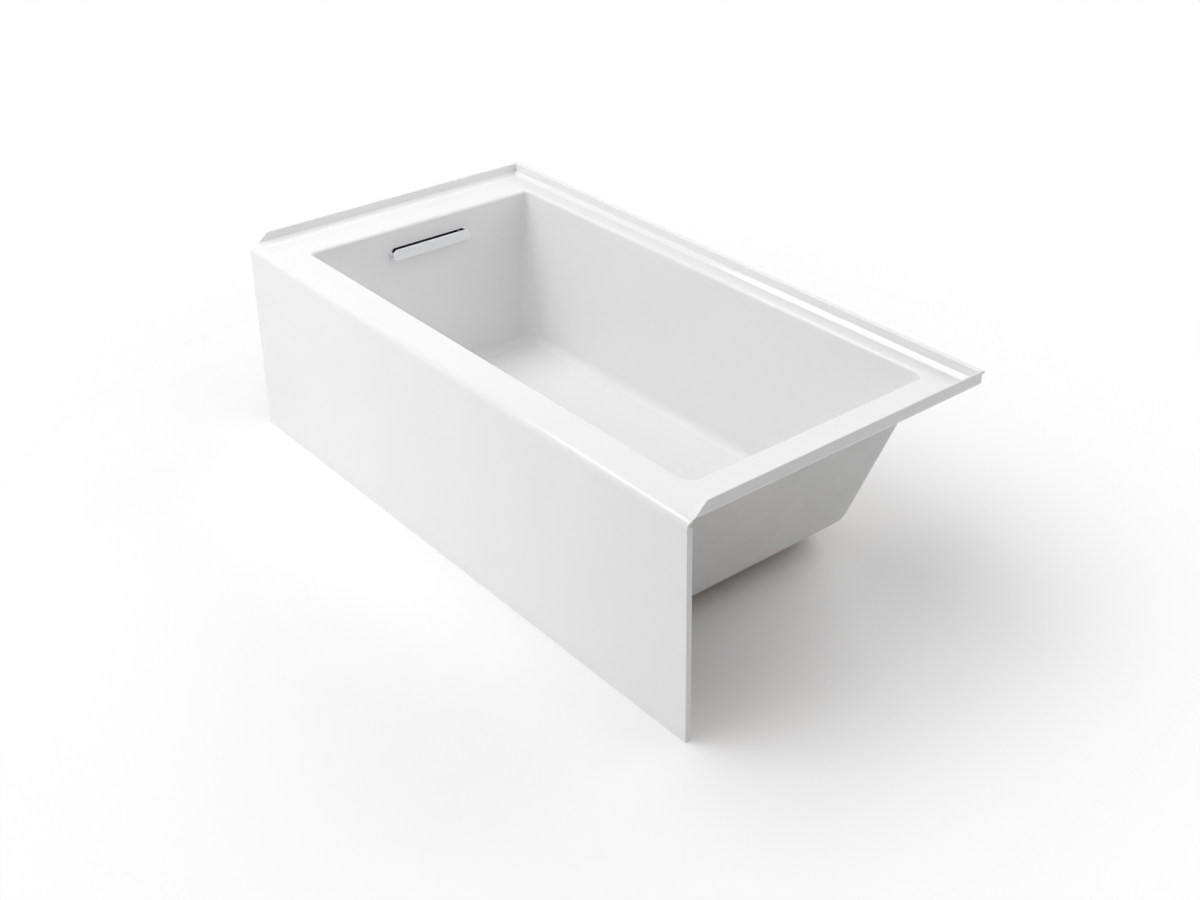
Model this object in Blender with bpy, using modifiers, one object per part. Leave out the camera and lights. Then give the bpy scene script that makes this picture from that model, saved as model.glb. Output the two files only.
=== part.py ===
"""Alcove bath: moulded tub with apron and tile flanges, its framing, feet, overflow and waste.

Metres, +Z up. +X runs along the bath towards the sloped back rest, -Y is the apron's side,
and the origin is on the floor under the middle of the bath.
"""

import math

import bmesh
import bpy
from mathutils import Matrix, Vector

OBJECT_NAME = "alcove_bath"

# Overall size
LENGTH = 1.524
DEPTH = 0.762
HEIGHT = 0.487
DECK_Z = 0.460
SHEET = 0.005
GAP = 0.0003
END_X = LENGTH / 2
FRONT_Y = -DEPTH / 2
BACK_Y = DEPTH / 2

# Apron and tile flanges
APRON_BEND = 0.012
APRON_RETURN = 0.0125
LIP_REACH = 0.008
LIP_HEIGHT = 0.0066
SKIRT_Y = BACK_Y - LIP_REACH
COVE_WIDTH = 0.012
COVE_HEIGHT = 0.008
FLANGE_FOOT_Y = FRONT_Y + 0.013
FLANGE_TOP_Y = FRONT_Y + 0.045

# Basin: the inner faces of its walls just below the rim and at the level of the floor
RIM_RADIUS = 0.008
RIM_WALLS = {"left": -0.642, "right": 0.666, "front": -0.291, "back": 0.317}
FLOOR_WALLS = {"left": -0.622, "right": 0.511, "front": -0.263, "back": 0.301}
RIM_CORNERS = {"left": 0.012, "right": 0.025}
FLOOR_CORNERS = {"left": 0.040, "right": 0.055}
FLOOR_Z = 0.058
FLOOR_RISE = 0.010
FLOOR_FILLET = 0.025
CORNER_STEPS = 5
FILLET_STEPS = 4
BACKING = 0.003
BACKING_TOP = 0.440

# Waste and overflow
WASTE_X = -0.492
WASTE_Y = 0.024
RISER_X = -0.705
PIPE_RADIUS = 0.01905
PIPE_BORE = 0.0160
HUB_RADIUS = 0.0215
HUB_SOCKET = PIPE_RADIUS + GAP
NUT_RADIUS = 0.0240
ARM_Z = 0.0245
OVERFLOW_Z = 0.398
STOPPER_TRAVEL = 0.0075

# Support under the basin
BOARD_X = (-0.600, 0.460)
BOARD_Y = (-0.235, 0.275)
BOARD_TOP = 0.0444
BOARD_THICKNESS = 0.012
NOTCH_END_X = -0.425
NOTCH_HALF_WIDTH = 0.045
FOOT_X = (-0.520, 0.355)
FOOT_Y = (-0.185, 0.225)

ROUND_STEPS = 24
WALL_ANGLE = math.atan(
    (FLOOR_WALLS["left"] - RIM_WALLS["left"]) / (DECK_Z - RIM_RADIUS - FLOOR_Z)
)


# Scene, materials and basic solids


def clear_scene():
    """Remove every object of the open scene."""
    for item in list(bpy.data.objects):
        bpy.data.objects.remove(item, do_unlink=True)


def new_collection(name):
    """Add a collection to the scene."""
    collection = bpy.data.collections.new(name)
    bpy.context.scene.collection.children.link(collection)
    return collection


def new_material(name, colour, roughness, metallic=0.0):
    """Make a Principled material."""
    material = bpy.data.materials.new(name)
    material.use_nodes = True
    shader = material.node_tree.nodes["Principled BSDF"]
    shader.inputs["Base Color"].default_value = (*colour, 1.0)
    shader.inputs["Roughness"].default_value = roughness
    shader.inputs["Metallic"].default_value = metallic
    return material


def smooth_round_faces(mesh):
    """Shade a mesh smooth, apart from its sharp edges."""
    mesh.shade_smooth()
    mesh.set_sharp_from_angle(angle=math.radians(32))


def place(name, mesh, material, location=(0.0, 0.0, 0.0), parent=None):
    """Put a mesh into the object's collection as one named sub-part."""
    item = bpy.data.objects.new(name, mesh)
    mesh.name = name
    mesh.materials.clear()
    mesh.materials.append(material)
    smooth_round_faces(mesh)
    PARTS.objects.link(item)
    item.parent = parent
    item.location = location
    return item


def helper(name, mesh, location=(0.0, 0.0, 0.0)):
    """Put a mesh that only shapes other parts into the cutters' collection."""
    item = bpy.data.objects.new(name, mesh)
    CUTTERS.objects.link(item)
    item.location = location
    item.hide_render = True
    item.display_type = "WIRE"
    return item


def combine(target, other, operation):
    """Join another solid to a part with UNION, or take it away with DIFFERENCE."""
    modifier = target.modifiers.new(other.name, "BOOLEAN")
    modifier.operation = operation
    modifier.solver = "EXACT"
    modifier.object = other


def mesh_from(bm, name):
    """Turn a bmesh into a mesh whose faces point out."""
    bmesh.ops.recalc_face_normals(bm, faces=bm.faces)
    mesh = bpy.data.meshes.new(name)
    bm.to_mesh(mesh)
    bm.free()
    return mesh


def box(name, low, high):
    """Mesh of a box between two corners."""
    low, high = Vector(low), Vector(high)
    bm = bmesh.new()
    bmesh.ops.create_cube(bm, size=1.0)
    bmesh.ops.scale(bm, vec=high - low, verts=bm.verts)
    bmesh.ops.translate(bm, vec=(low + high) / 2, verts=bm.verts)
    return mesh_from(bm, name)


def extruded(name, outline, axis, low, high):
    """Mesh of a closed outline pushed along an axis from low to high.

    The outline's points are (y, z) for axis X, (x, z) for axis Y and (x, y) for axis Z.
    """
    curve = bpy.data.curves.new(name, "CURVE")
    curve.dimensions = "2D"
    curve.fill_mode = "BOTH"
    curve.extrude = (high - low) / 2
    spline = curve.splines.new("POLY")
    spline.points.add(len(outline) - 1)
    spline.use_cyclic_u = True
    for point, (u, v) in zip(spline.points, outline):
        point.co = (u, v, 0.0, 1.0)
    middle = (low + high) / 2
    turn = {
        "X": Matrix(((0, 0, 1, middle), (1, 0, 0, 0), (0, 1, 0, 0), (0, 0, 0, 1))),
        "Y": Matrix(((1, 0, 0, 0), (0, 0, -1, middle), (0, 1, 0, 0), (0, 0, 0, 1))),
        "Z": Matrix.Translation((0, 0, middle)),
    }[axis]
    item = bpy.data.objects.new(name, curve)
    bpy.context.scene.collection.objects.link(item)
    depsgraph = bpy.context.evaluated_depsgraph_get()
    mesh = bpy.data.meshes.new_from_object(item.evaluated_get(depsgraph))
    bpy.data.objects.remove(item, do_unlink=True)
    bm = bmesh.new()
    bm.from_mesh(mesh)
    bpy.data.meshes.remove(mesh)
    bmesh.ops.remove_doubles(bm, verts=bm.verts, dist=0.00001)
    bmesh.ops.transform(bm, matrix=turn, verts=bm.verts)
    return mesh_from(bm, name)


def turned(name, profile, closed=True, steps=ROUND_STEPS, axis="Z"):
    """Mesh of a profile of (radius, height) points turned about Z, or about X.

    A closed profile is a ring's section, and an open one starts and ends on the axis.
    """
    mesh = bpy.data.meshes.new(name)
    points = [(radius, 0.0, height) for radius, height in profile]
    edges = [(k, k + 1) for k in range(len(points) - 1)]
    if closed:
        edges.append((len(points) - 1, 0))
    mesh.from_pydata(points, edges, [])
    item = bpy.data.objects.new(name, mesh)
    bpy.context.scene.collection.objects.link(item)
    screw = item.modifiers.new("turn", "SCREW")
    screw.steps = steps
    screw.render_steps = steps
    screw.use_merge_vertices = True
    screw.merge_threshold = 0.00001
    depsgraph = bpy.context.evaluated_depsgraph_get()
    result = bpy.data.meshes.new_from_object(item.evaluated_get(depsgraph))
    bpy.data.objects.remove(item, do_unlink=True)
    bpy.data.meshes.remove(mesh)
    bm = bmesh.new()
    bm.from_mesh(result)
    bpy.data.meshes.remove(result)
    if axis == "X":
        bmesh.ops.rotate(bm, matrix=Matrix.Rotation(math.pi / 2, 3, "Y"), verts=bm.verts)
    return mesh_from(bm, name)


def cylinder(name, radius, low, high, steps=ROUND_STEPS, axis="Z"):
    """Mesh of a solid cylinder about Z, or about X, from low to high."""
    bm = bmesh.new()
    bmesh.ops.create_cone(
        bm, cap_ends=True, segments=steps, radius1=radius, radius2=radius, depth=high - low
    )
    bmesh.ops.translate(bm, vec=(0, 0, (low + high) / 2), verts=bm.verts)
    if axis == "X":
        bmesh.ops.rotate(bm, matrix=Matrix.Rotation(math.pi / 2, 3, "Y"), verts=bm.verts)
    return mesh_from(bm, name)


def arc(centre, radius, start, end, steps):
    """Points of an arc between two angles in degrees."""
    angles = [math.radians(start + (end - start) * k / steps) for k in range(steps + 1)]
    return [(centre[0] + radius * math.cos(a), centre[1] + radius * math.sin(a)) for a in angles]


def rounded_outline(low, high, radius, steps=6):
    """Outline of a rectangle with round corners."""
    (x0, y0), (x1, y1) = low, high
    points = arc((x1 - radius, y1 - radius), radius, 0, 90, steps)
    points += arc((x0 + radius, y1 - radius), radius, 90, 180, steps)
    points += arc((x0 + radius, y0 + radius), radius, 180, 270, steps)
    points += arc((x1 - radius, y0 + radius), radius, 270, 360, steps)
    return points


# The basin's form


def floor_z(x, grow=0.0):
    """Height of the basin's floor at x, which falls towards the waste."""
    share = (x - FLOOR_WALLS["left"]) / (FLOOR_WALLS["right"] - FLOOR_WALLS["left"])
    return FLOOR_Z + FLOOR_RISE * share - grow


def wall_x(z, grow=0.0):
    """Place of the left end wall at height z, grown out by a thickness."""
    rim_z = DECK_Z - RIM_RADIUS
    share = (rim_z - z) / (rim_z - FLOOR_Z)
    return RIM_WALLS["left"] + (FLOOR_WALLS["left"] - RIM_WALLS["left"]) * share - grow


def basin_ring(z, grow, inset=0.0):
    """One level of the basin: a rectangle with round corners, grown out by a thickness.

    The levels lean with the floor by a share that fades out towards the rim.
    """
    rim_z = DECK_Z - RIM_RADIUS
    share = min(max((rim_z - z) / (rim_z - FLOOR_Z), 0.0), 1.0)
    side = {key: RIM_WALLS[key] + (FLOOR_WALLS[key] - RIM_WALLS[key]) * share for key in RIM_WALLS}
    radius = {
        key: RIM_CORNERS[key] + (FLOOR_CORNERS[key] - RIM_CORNERS[key]) * share
        for key in RIM_CORNERS
    }
    out = grow - inset
    left, right = side["left"] - out, side["right"] + out
    front, back = side["front"] - out, side["back"] + out
    round_left, round_right = (max(radius[key] + out, 0.002) for key in ("left", "right"))
    outline = arc((right - round_right, back - round_right), round_right, 0, 90, CORNER_STEPS)
    outline += arc((left + round_left, back - round_left), round_left, 90, 180, CORNER_STEPS)
    outline += arc((left + round_left, front + round_left), round_left, 180, 270, CORNER_STEPS)
    outline += arc((right - round_right, front + round_right), round_right, 270, 360, CORNER_STEPS)
    lean = FLOOR_RISE * share / (FLOOR_WALLS["right"] - FLOOR_WALLS["left"])
    return [(x, y, z + lean * (x - FLOOR_WALLS["left"])) for x, y in outline]


def basin_rings(grow, top):
    """The basin's levels from the floor up to a height, without the rim's rounding."""
    rings = []
    for step in range(FILLET_STEPS, -1, -1):
        angle = math.radians(90 * step / FILLET_STEPS)
        fillet = FLOOR_FILLET + grow
        height = FLOOR_Z - grow + fillet * (1 - math.sin(angle))
        rings.append(basin_ring(height, grow, fillet * (1 - math.cos(angle))))
    rings.append(basin_ring(top, grow))
    return rings


def loft(name, rings):
    """Closed mesh through rings of equal point count, capped at both ends."""
    bm = bmesh.new()
    loops = [[bm.verts.new(point) for point in ring] for ring in rings]
    for lower, upper in zip(loops, loops[1:]):
        for k, vert in enumerate(lower):
            after = (k + 1) % len(lower)
            bm.faces.new((vert, lower[after], upper[after], upper[k]))
    bm.faces.new(loops[0])
    bm.faces.new(loops[-1])
    return mesh_from(bm, name)


def basin_cutter(name):
    """The space inside the basin, with the rim's rounding and a head above the deck."""
    rings = basin_rings(0.0, DECK_Z - RIM_RADIUS)
    for degrees in (25, 50, 72):
        angle = math.radians(degrees)
        height = DECK_Z - RIM_RADIUS * (1 - math.sin(angle))
        rings.append(basin_ring(height, RIM_RADIUS * (1 - math.cos(angle))))
    rings.append(basin_ring(DECK_Z + GAP, RIM_RADIUS))
    rings.append(basin_ring(HEIGHT + 0.02, RIM_RADIUS))
    return loft(name, rings)


# The moulded tub


def tub_section():
    """Section of the tub's sheet across the bath: apron, deck, back flange and lip."""
    bend_y = FRONT_Y + APRON_BEND
    bend_z = DECK_Z - APRON_BEND
    inner_skirt = SKIRT_Y - SHEET
    points = [(FRONT_Y, 0.0)]
    points += arc((bend_y, bend_z), APRON_BEND, 180, 90, 5)
    points += [
        (inner_skirt - COVE_WIDTH, DECK_Z),
        (inner_skirt, DECK_Z + COVE_HEIGHT),
        (inner_skirt, HEIGHT),
        (BACK_Y, HEIGHT),
        (BACK_Y, HEIGHT - LIP_HEIGHT),
        (SKIRT_Y, HEIGHT - LIP_HEIGHT),
        (SKIRT_Y, DECK_Z - SHEET),
    ]
    points += arc((bend_y, bend_z), APRON_BEND - SHEET, 90, 180, 5)
    points += [
        (FRONT_Y + SHEET, SHEET),
        (FRONT_Y + APRON_RETURN, SHEET),
        (FRONT_Y + APRON_RETURN, 0.0),
    ]
    return points


def end_flange_outline():
    """Outline of an end flange, with its slanted front end, as (y, z) points."""
    return [
        (FLANGE_FOOT_Y, DECK_Z - SHEET),
        (SKIRT_Y, DECK_Z - SHEET),
        (SKIRT_Y, HEIGHT - LIP_HEIGHT),
        (BACK_Y, HEIGHT - LIP_HEIGHT),
        (BACK_Y, HEIGHT),
        (FLANGE_TOP_Y, HEIGHT),
        (FLANGE_FOOT_Y, DECK_Z),
    ]


def cove_outline(side):
    """Section of the fillet strip at the foot of an end flange, as (x, z) points."""
    inner = END_X - SHEET
    sunk = 0.002
    return [
        (side * (inner - COVE_WIDTH), DECK_Z),
        (side * inner, DECK_Z + COVE_HEIGHT),
        (side * (inner + sunk), DECK_Z + COVE_HEIGHT),
        (side * (inner + sunk), DECK_Z - sunk),
        (side * (inner - COVE_WIDTH), DECK_Z - sunk),
    ]


def build_shell(acrylic):
    """The tub: one moulded sheet from the apron's foot to the flanges' tops."""
    shell = place("bath_shell", extruded("shell", tub_section(), "X", -END_X, END_X), acrylic)
    for side, label in ((-1, "left"), (1, "right")):
        faces = sorted((side * END_X, side * (END_X - SHEET)))
        flange = extruded(f"flange_{label}", end_flange_outline(), "X", *faces)
        combine(shell, helper(f"flange_{label}", flange), "UNION")
        cove = extruded(f"cove_{label}", cove_outline(side), "Y", FRONT_Y + 0.026, SKIRT_Y - 0.002)
        combine(shell, helper(f"cove_{label}", cove), "UNION")
        apron_return = box(
            f"return_{label}",
            (faces[0], FRONT_Y + SHEET / 2, SHEET / 2),
            (faces[1], FRONT_Y + APRON_RETURN, DECK_Z - APRON_BEND),
        )
        combine(shell, helper(f"return_{label}", apron_return), "UNION")
    basin = loft("basin_outside", basin_rings(SHEET, DECK_Z - SHEET / 2))
    combine(shell, helper("basin_outside", basin), "UNION")
    combine(shell, helper("basin_inside", basin_cutter("basin_inside")), "DIFFERENCE")
    cut_waste_holes(shell)


def cut_waste_holes(part):
    """Cut the overflow's slot and the drain's hole through a wall of the basin."""
    for cutter in (OVERFLOW_CUTTER, DRAIN_CUTTER):
        combine(part, cutter, "DIFFERENCE")


def build_backing(resin):
    """Glass-fibre resin sprayed on the outside of the basin."""
    inner = basin_rings(SHEET + GAP, BACKING_TOP)
    outer = basin_rings(SHEET + GAP + BACKING, BACKING_TOP)
    backing = place("basin_backing", loft("backing", outer + inner[::-1]), resin)
    cut_waste_holes(backing)


# Support and framing


def build_support(foam, board_material):
    """Foam bed and base board under the floor, both notched around the waste."""
    skin = SHEET + 2 * GAP + BACKING
    fall = [(x, floor_z(x, skin)) for x in BOARD_X]
    bed_outline = [
        (BOARD_X[0], BOARD_TOP + GAP),
        (BOARD_X[1], BOARD_TOP + GAP),
        (BOARD_X[1], fall[1][1]),
        (BOARD_X[0], fall[0][1]),
    ]
    bed = place("foam_bed", extruded("bed", bed_outline, "Y", *BOARD_Y), foam)
    board_low = BOARD_TOP - BOARD_THICKNESS
    board = place(
        "base_board",
        box("board", (BOARD_X[0], BOARD_Y[0], board_low), (BOARD_X[1], BOARD_Y[1], BOARD_TOP)),
        board_material,
    )
    notch = helper(
        "waste_notch",
        box(
            "notch",
            (BOARD_X[0] - 0.01, WASTE_Y - NOTCH_HALF_WIDTH, board_low - 0.01),
            (NOTCH_END_X, WASTE_Y + NOTCH_HALF_WIDTH, 0.08),
        ),
    )
    combine(bed, notch, "DIFFERENCE")
    combine(board, notch, "DIFFERENCE")


def build_feet(plastic, rubber):
    """Four feet: a socket fixed under the board and a pad that screws down out of it."""
    socket_top = BOARD_TOP - BOARD_THICKNESS - GAP
    socket_profile = [
        (0.0, socket_top),
        (0.034, socket_top),
        (0.032, 0.008),
        (0.0275, 0.008),
        (0.0275, 0.0262),
        (0.0, 0.0262),
    ]
    pad_profile = [
        (0.0, 0.0250),
        (0.0265, 0.0250),
        (0.0265, 0.0065),
        (0.030, 0.0055),
        (0.030, 0.0),
        (0.0, 0.0),
    ]
    for x, end in zip(FOOT_X, ("left", "right")):
        for y, side in zip(FOOT_Y, ("front", "back")):
            socket = turned("socket", socket_profile, closed=False)
            place(f"foot_socket_{end}_{side}", socket, plastic, (x, y, 0.0))
            pad = turned("pad", pad_profile, closed=False)
            place(f"foot_pad_{end}_{side}", pad, rubber, (x, y, 0.0))


def build_framing(timber, board_material, steel):
    """Rails, studs and board that stiffen the deck and the apron, and their ties."""
    apron_face = FRONT_Y + SHEET + GAP
    rail_top = DECK_Z - SHEET - GAP
    rail_low = rail_top - 0.0350
    sole_top = 0.0450
    board_back = apron_face + 0.009
    place(
        "front_rim_rail",
        box("front_rail", (-0.680, -0.345, rail_low), (0.660, -0.308, rail_top)),
        timber,
    )
    place(
        "back_rim_rail",
        box("back_rail", (-0.600, 0.334, rail_low), (0.560, 0.362, rail_top)),
        timber,
    )
    place(
        "apron_sole_rail",
        box("sole_rail", (-0.700, apron_face, SHEET + GAP), (0.690, -0.350, sole_top)),
        timber,
    )
    place(
        "apron_board",
        box(
            "apron_board",
            (-0.740, apron_face, sole_top + GAP),
            (0.740, board_back, rail_low - GAP),
        ),
        board_material,
    )
    for x, label in ((-0.450, "left"), (0.0, "middle"), (0.450, "right")):
        stud = box(
            "stud",
            (-0.020, board_back + GAP, sole_top + GAP),
            (0.020, -0.340, rail_low - GAP),
        )
        place(f"apron_stud_{label}", stud, timber, (x, 0.0, 0.0))
    strip_top = BOARD_TOP - BOARD_THICKNESS - GAP
    strip = 0.002
    tie_outline = [
        (-0.350 + GAP, 0.0435),
        (-0.350 + GAP, strip_top - strip),
        (-0.185, strip_top - strip),
        (-0.185, strip_top),
        (-0.350 + GAP + strip, strip_top),
        (-0.350 + GAP + strip, 0.0435),
    ]
    for x, label in ((-0.220, "left"), (0.150, "right")):
        tie = extruded("tie", tie_outline, "X", -0.015, 0.015)
        place(f"apron_tie_{label}", tie, steel, (x, 0.0, 0.0))


# Overflow


def tilted(name, outline, front, back):
    """Mesh of a (y, z) outline standing off the left end wall, as seen from the basin.

    The outline is centred on the overflow, and front and back are distances from the
    wall's inner face, positive into the basin.
    """
    mesh = extruded(name, outline, "X", back, front)
    mesh.transform(Matrix.Rotation(-WALL_ANGLE, 4, "Y"))
    return mesh


def overflow_spot():
    """Centre of the overflow on the wall's inner face."""
    return (wall_x(OVERFLOW_Z), WASTE_Y, OVERFLOW_Z)


def build_overflow_face(chrome, steel, rubber):
    """Back plate, cover, screws and gasket of the slotted overflow."""
    spot = overflow_spot()
    plate_front = GAP + 0.0025
    plate = place(
        "overflow_plate",
        tilted("plate", rounded_outline((-0.1115, -0.0165), (0.1115, 0.0165), 0.012), plate_front, GAP),
        chrome,
        spot,
    )
    slot = tilted("slot", rounded_outline((-0.084, -0.0055), (0.084, 0.0055), 0.004), 0.01, -0.01)
    combine(plate, helper("plate_slot", slot, spot), "DIFFERENCE")
    cover_back = plate_front + GAP
    cover = place(
        "overflow_cover",
        tilted(
            "cover", rounded_outline((-0.1095, -0.0150), (0.1095, 0.0120), 0.010), 0.0140, cover_back
        ),
        chrome,
        spot,
    )
    hollow = tilted(
        "hollow", rounded_outline((-0.1070, -0.0125), (0.1070, 0.0095), 0.0075), 0.0115, -0.01
    )
    mouth = tilted("mouth", [(-0.09, 0.0), (0.09, 0.0), (0.09, 0.03), (-0.09, 0.03)], 0.0100, -0.01)
    combine(cover, helper("cover_hollow", hollow, spot), "DIFFERENCE")
    combine(cover, helper("cover_mouth", mouth, spot), "DIFFERENCE")
    build_overflow_screws(plate, steel, spot)
    back_face = SHEET + 2 * GAP + BACKING
    gasket = place(
        "overflow_gasket",
        tilted(
            "gasket",
            rounded_outline((-0.1150, -0.0200), (0.1150, 0.0200), 0.006),
            -back_face,
            -back_face - 0.003,
        ),
        rubber,
        spot,
    )
    hole = tilted("hole", rounded_outline((-0.1040, -0.0080), (0.1040, 0.0080), 0.004), 0.0, -0.03)
    combine(gasket, helper("gasket_hole", hole, spot), "DIFFERENCE")


def build_overflow_screws(plate, steel, spot):
    """Two screws that draw the plate and the housing together through the wall."""
    for side, label in ((-1, "front"), (1, "back")):
        place_on_wall = Matrix.Translation((0, side * 0.096, 0))
        hole = cylinder("screw_hole", 0.0025, -0.01, 0.01, 12, "X")
        hole.transform(place_on_wall)
        hole.transform(Matrix.Rotation(-WALL_ANGLE, 4, "Y"))
        combine(plate, helper(f"screw_hole_{label}", hole, spot), "DIFFERENCE")
        head = GAP + 0.0025 + GAP
        profile = [
            (0.0, head + 0.0025),
            (0.0042, head + 0.0015),
            (0.0045, head),
            (0.0022, head),
            (0.0022, -0.026),
            (0.0, -0.026),
        ]
        screw = turned("screw", profile, closed=False, steps=12, axis="X")
        screw.transform(place_on_wall)
        screw.transform(Matrix.Rotation(-WALL_ANGLE, 4, "Y"))
        place(f"overflow_screw_{label}", screw, steel, spot)


def build_overflow_housing(plastic):
    """Box behind the end wall that gathers the overflow and feeds the riser pipe."""
    skin = SHEET + 2 * GAP + BACKING + 0.003 + GAP
    low, high = 0.372, 0.424
    back = -0.7335
    wall = 0.003
    body = [(back, low), (wall_x(low, skin), low), (wall_x(high, skin), high), (back, high)]
    centre_y = WASTE_Y
    housing = place(
        "overflow_housing",
        extruded("housing", body, "Y", centre_y - 0.1155, centre_y + 0.1155),
        plastic,
    )
    spigot = helper(
        "housing_spigot", cylinder("spigot", HUB_RADIUS, 0.350, low + wall / 2), (RISER_X, centre_y, 0)
    )
    combine(housing, spigot, "UNION")
    inside = box(
        "inside",
        (back + wall, centre_y - 0.088, low + wall),
        (-0.6600, centre_y + 0.088, high - wall),
    )
    combine(housing, helper("housing_inside", inside), "DIFFERENCE")
    mouth = box(
        "housing_mouth",
        (-0.6620, centre_y - 0.088, OVERFLOW_Z - 0.008),
        (-0.6300, centre_y + 0.088, OVERFLOW_Z + 0.008),
    )
    combine(housing, helper("housing_mouth", mouth), "DIFFERENCE")
    bore = cylinder("bore", PIPE_BORE, 0.340, low + 2 * wall)
    combine(housing, helper("housing_bore", bore, (RISER_X, centre_y, 0)), "DIFFERENCE")
    socket = cylinder("socket", HUB_SOCKET, 0.340, 0.362)
    combine(housing, helper("housing_socket", socket, (RISER_X, centre_y, 0)), "DIFFERENCE")
    for side, label in ((-1, "front"), (1, "back")):
        hole = cylinder("boss_hole", 0.0025, -0.030, 0.0, 12, "X")
        hole.transform(Matrix.Translation((0, side * 0.096, 0)))
        hole.transform(Matrix.Rotation(-WALL_ANGLE, 4, "Y"))
        combine(housing, helper(f"boss_hole_{label}", hole, overflow_spot()), "DIFFERENCE")


# Waste pipes


def nut_profile(face, direction):
    """Section of a slip nut that covers a hub's end and holds a washer against it."""
    def at(distance):
        return face + direction * distance

    return [
        (NUT_RADIUS, at(-0.0120)),
        (NUT_RADIUS, at(0.0045)),
        (HUB_SOCKET, at(0.0045)),
        (HUB_SOCKET, at(0.0025)),
        (HUB_RADIUS + GAP, at(0.0025)),
        (HUB_RADIUS + GAP, at(-0.0120)),
    ]


def washer_profile(face, direction):
    """Section of the sealing washer between a hub's end and its slip nut."""
    low, high = face + direction * GAP, face + direction * 0.0022
    return [(HUB_RADIUS, high), (HUB_RADIUS, low), (HUB_SOCKET, low), (HUB_SOCKET, high)]


def pipe_profile(low, high):
    """Section of a plain pipe's wall."""
    return [
        (PIPE_RADIUS, high),
        (PIPE_RADIUS, low),
        (PIPE_BORE, low),
        (PIPE_BORE, high),
    ]


def build_slip_joint(name, face, direction, centre, axis, plastic, rubber):
    """Slip nut and washer of one pipe joint."""
    nut = turned("nut", nut_profile(face, direction), steps=ROUND_STEPS, axis=axis)
    place(f"{name}_nut", nut, plastic, centre)
    washer = turned("washer", washer_profile(face, direction), axis=axis)
    place(f"{name}_washer", washer, rubber, centre)


def build_pipes(plastic, nut_plastic, rubber):
    """Riser pipe from the overflow, tee at its foot and arm from the waste shoe."""
    riser = (RISER_X, WASTE_Y, 0.0)
    place("overflow_riser", turned("riser", pipe_profile(0.0715, 0.3610)), plastic, riser)
    tee_top = 0.085
    branch_end = 0.037
    tee = place("waste_tee", cylinder("tee", HUB_RADIUS, 0.0015, tee_top), plastic, riser)
    arm_centre = (RISER_X, WASTE_Y, ARM_Z)
    branch = cylinder("branch", HUB_RADIUS, 0.0, branch_end, axis="X")
    combine(tee, helper("tee_branch", branch, arm_centre), "UNION")
    bores = (
        ("tee_bore", cylinder("bore", PIPE_BORE, -0.01, 0.1), riser),
        ("tee_socket", cylinder("socket", HUB_SOCKET, 0.0710, 0.1), riser),
        ("branch_bore", cylinder("bore", PIPE_BORE, 0.0, 0.06, axis="X"), arm_centre),
        ("branch_socket", cylinder("socket", HUB_SOCKET, 0.024, 0.06, axis="X"), arm_centre),
    )
    for label, mesh, centre in bores:
        combine(tee, helper(label, mesh, centre), "DIFFERENCE")
    build_slip_joint("riser_top", 0.350, -1, riser, "Z", nut_plastic, rubber)
    build_slip_joint("riser_foot", tee_top, 1, riser, "Z", nut_plastic, rubber)
    build_slip_joint("arm", branch_end, 1, arm_centre, "X", nut_plastic, rubber)
    arm_low = 0.0245
    arm_high = WASTE_X - 0.034 - RISER_X
    place("waste_arm", turned("arm", pipe_profile(arm_low, arm_high), axis="X"), plastic, arm_centre)


def build_shoe(plastic, rubber):
    """Waste shoe under the basin, with its gasket."""
    under = floor_z(WASTE_X, SHEET + BACKING + 0.0010)
    centre = (WASTE_X, WASTE_Y, 0.0)
    gasket_low = under - 0.003
    gasket = [(0.033, under), (0.033, gasket_low), (0.0235, gasket_low), (0.0235, under)]
    place("shoe_gasket", turned("gasket", gasket), rubber, centre)
    top = gasket_low - GAP
    body = [(0.0, top), (0.034, top), (0.034, top - 0.0025), (0.0285, top - 0.004)]
    body += [(0.0285, 0.0035), (0.0, 0.0035)]
    shoe = place("waste_shoe", turned("shoe", body, closed=False), plastic, centre)
    arm_centre = (WASTE_X, WASTE_Y, ARM_Z)
    hub = cylinder("hub", 0.0222, -0.050, 0.0, axis="X")
    combine(shoe, helper("shoe_hub", hub, arm_centre), "UNION")
    bores = (
        ("shoe_bore", cylinder("bore", 0.0229, 0.0065, 0.1), centre),
        ("shoe_outlet", cylinder("outlet", PIPE_BORE, -0.06, 0.0, axis="X"), arm_centre),
        ("shoe_socket", cylinder("socket", HUB_SOCKET, -0.06, -0.0335, axis="X"), arm_centre),
    )
    for label, mesh, spot in bores:
        combine(shoe, helper(label, mesh, spot), "DIFFERENCE")


# Drain and stopper


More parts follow.
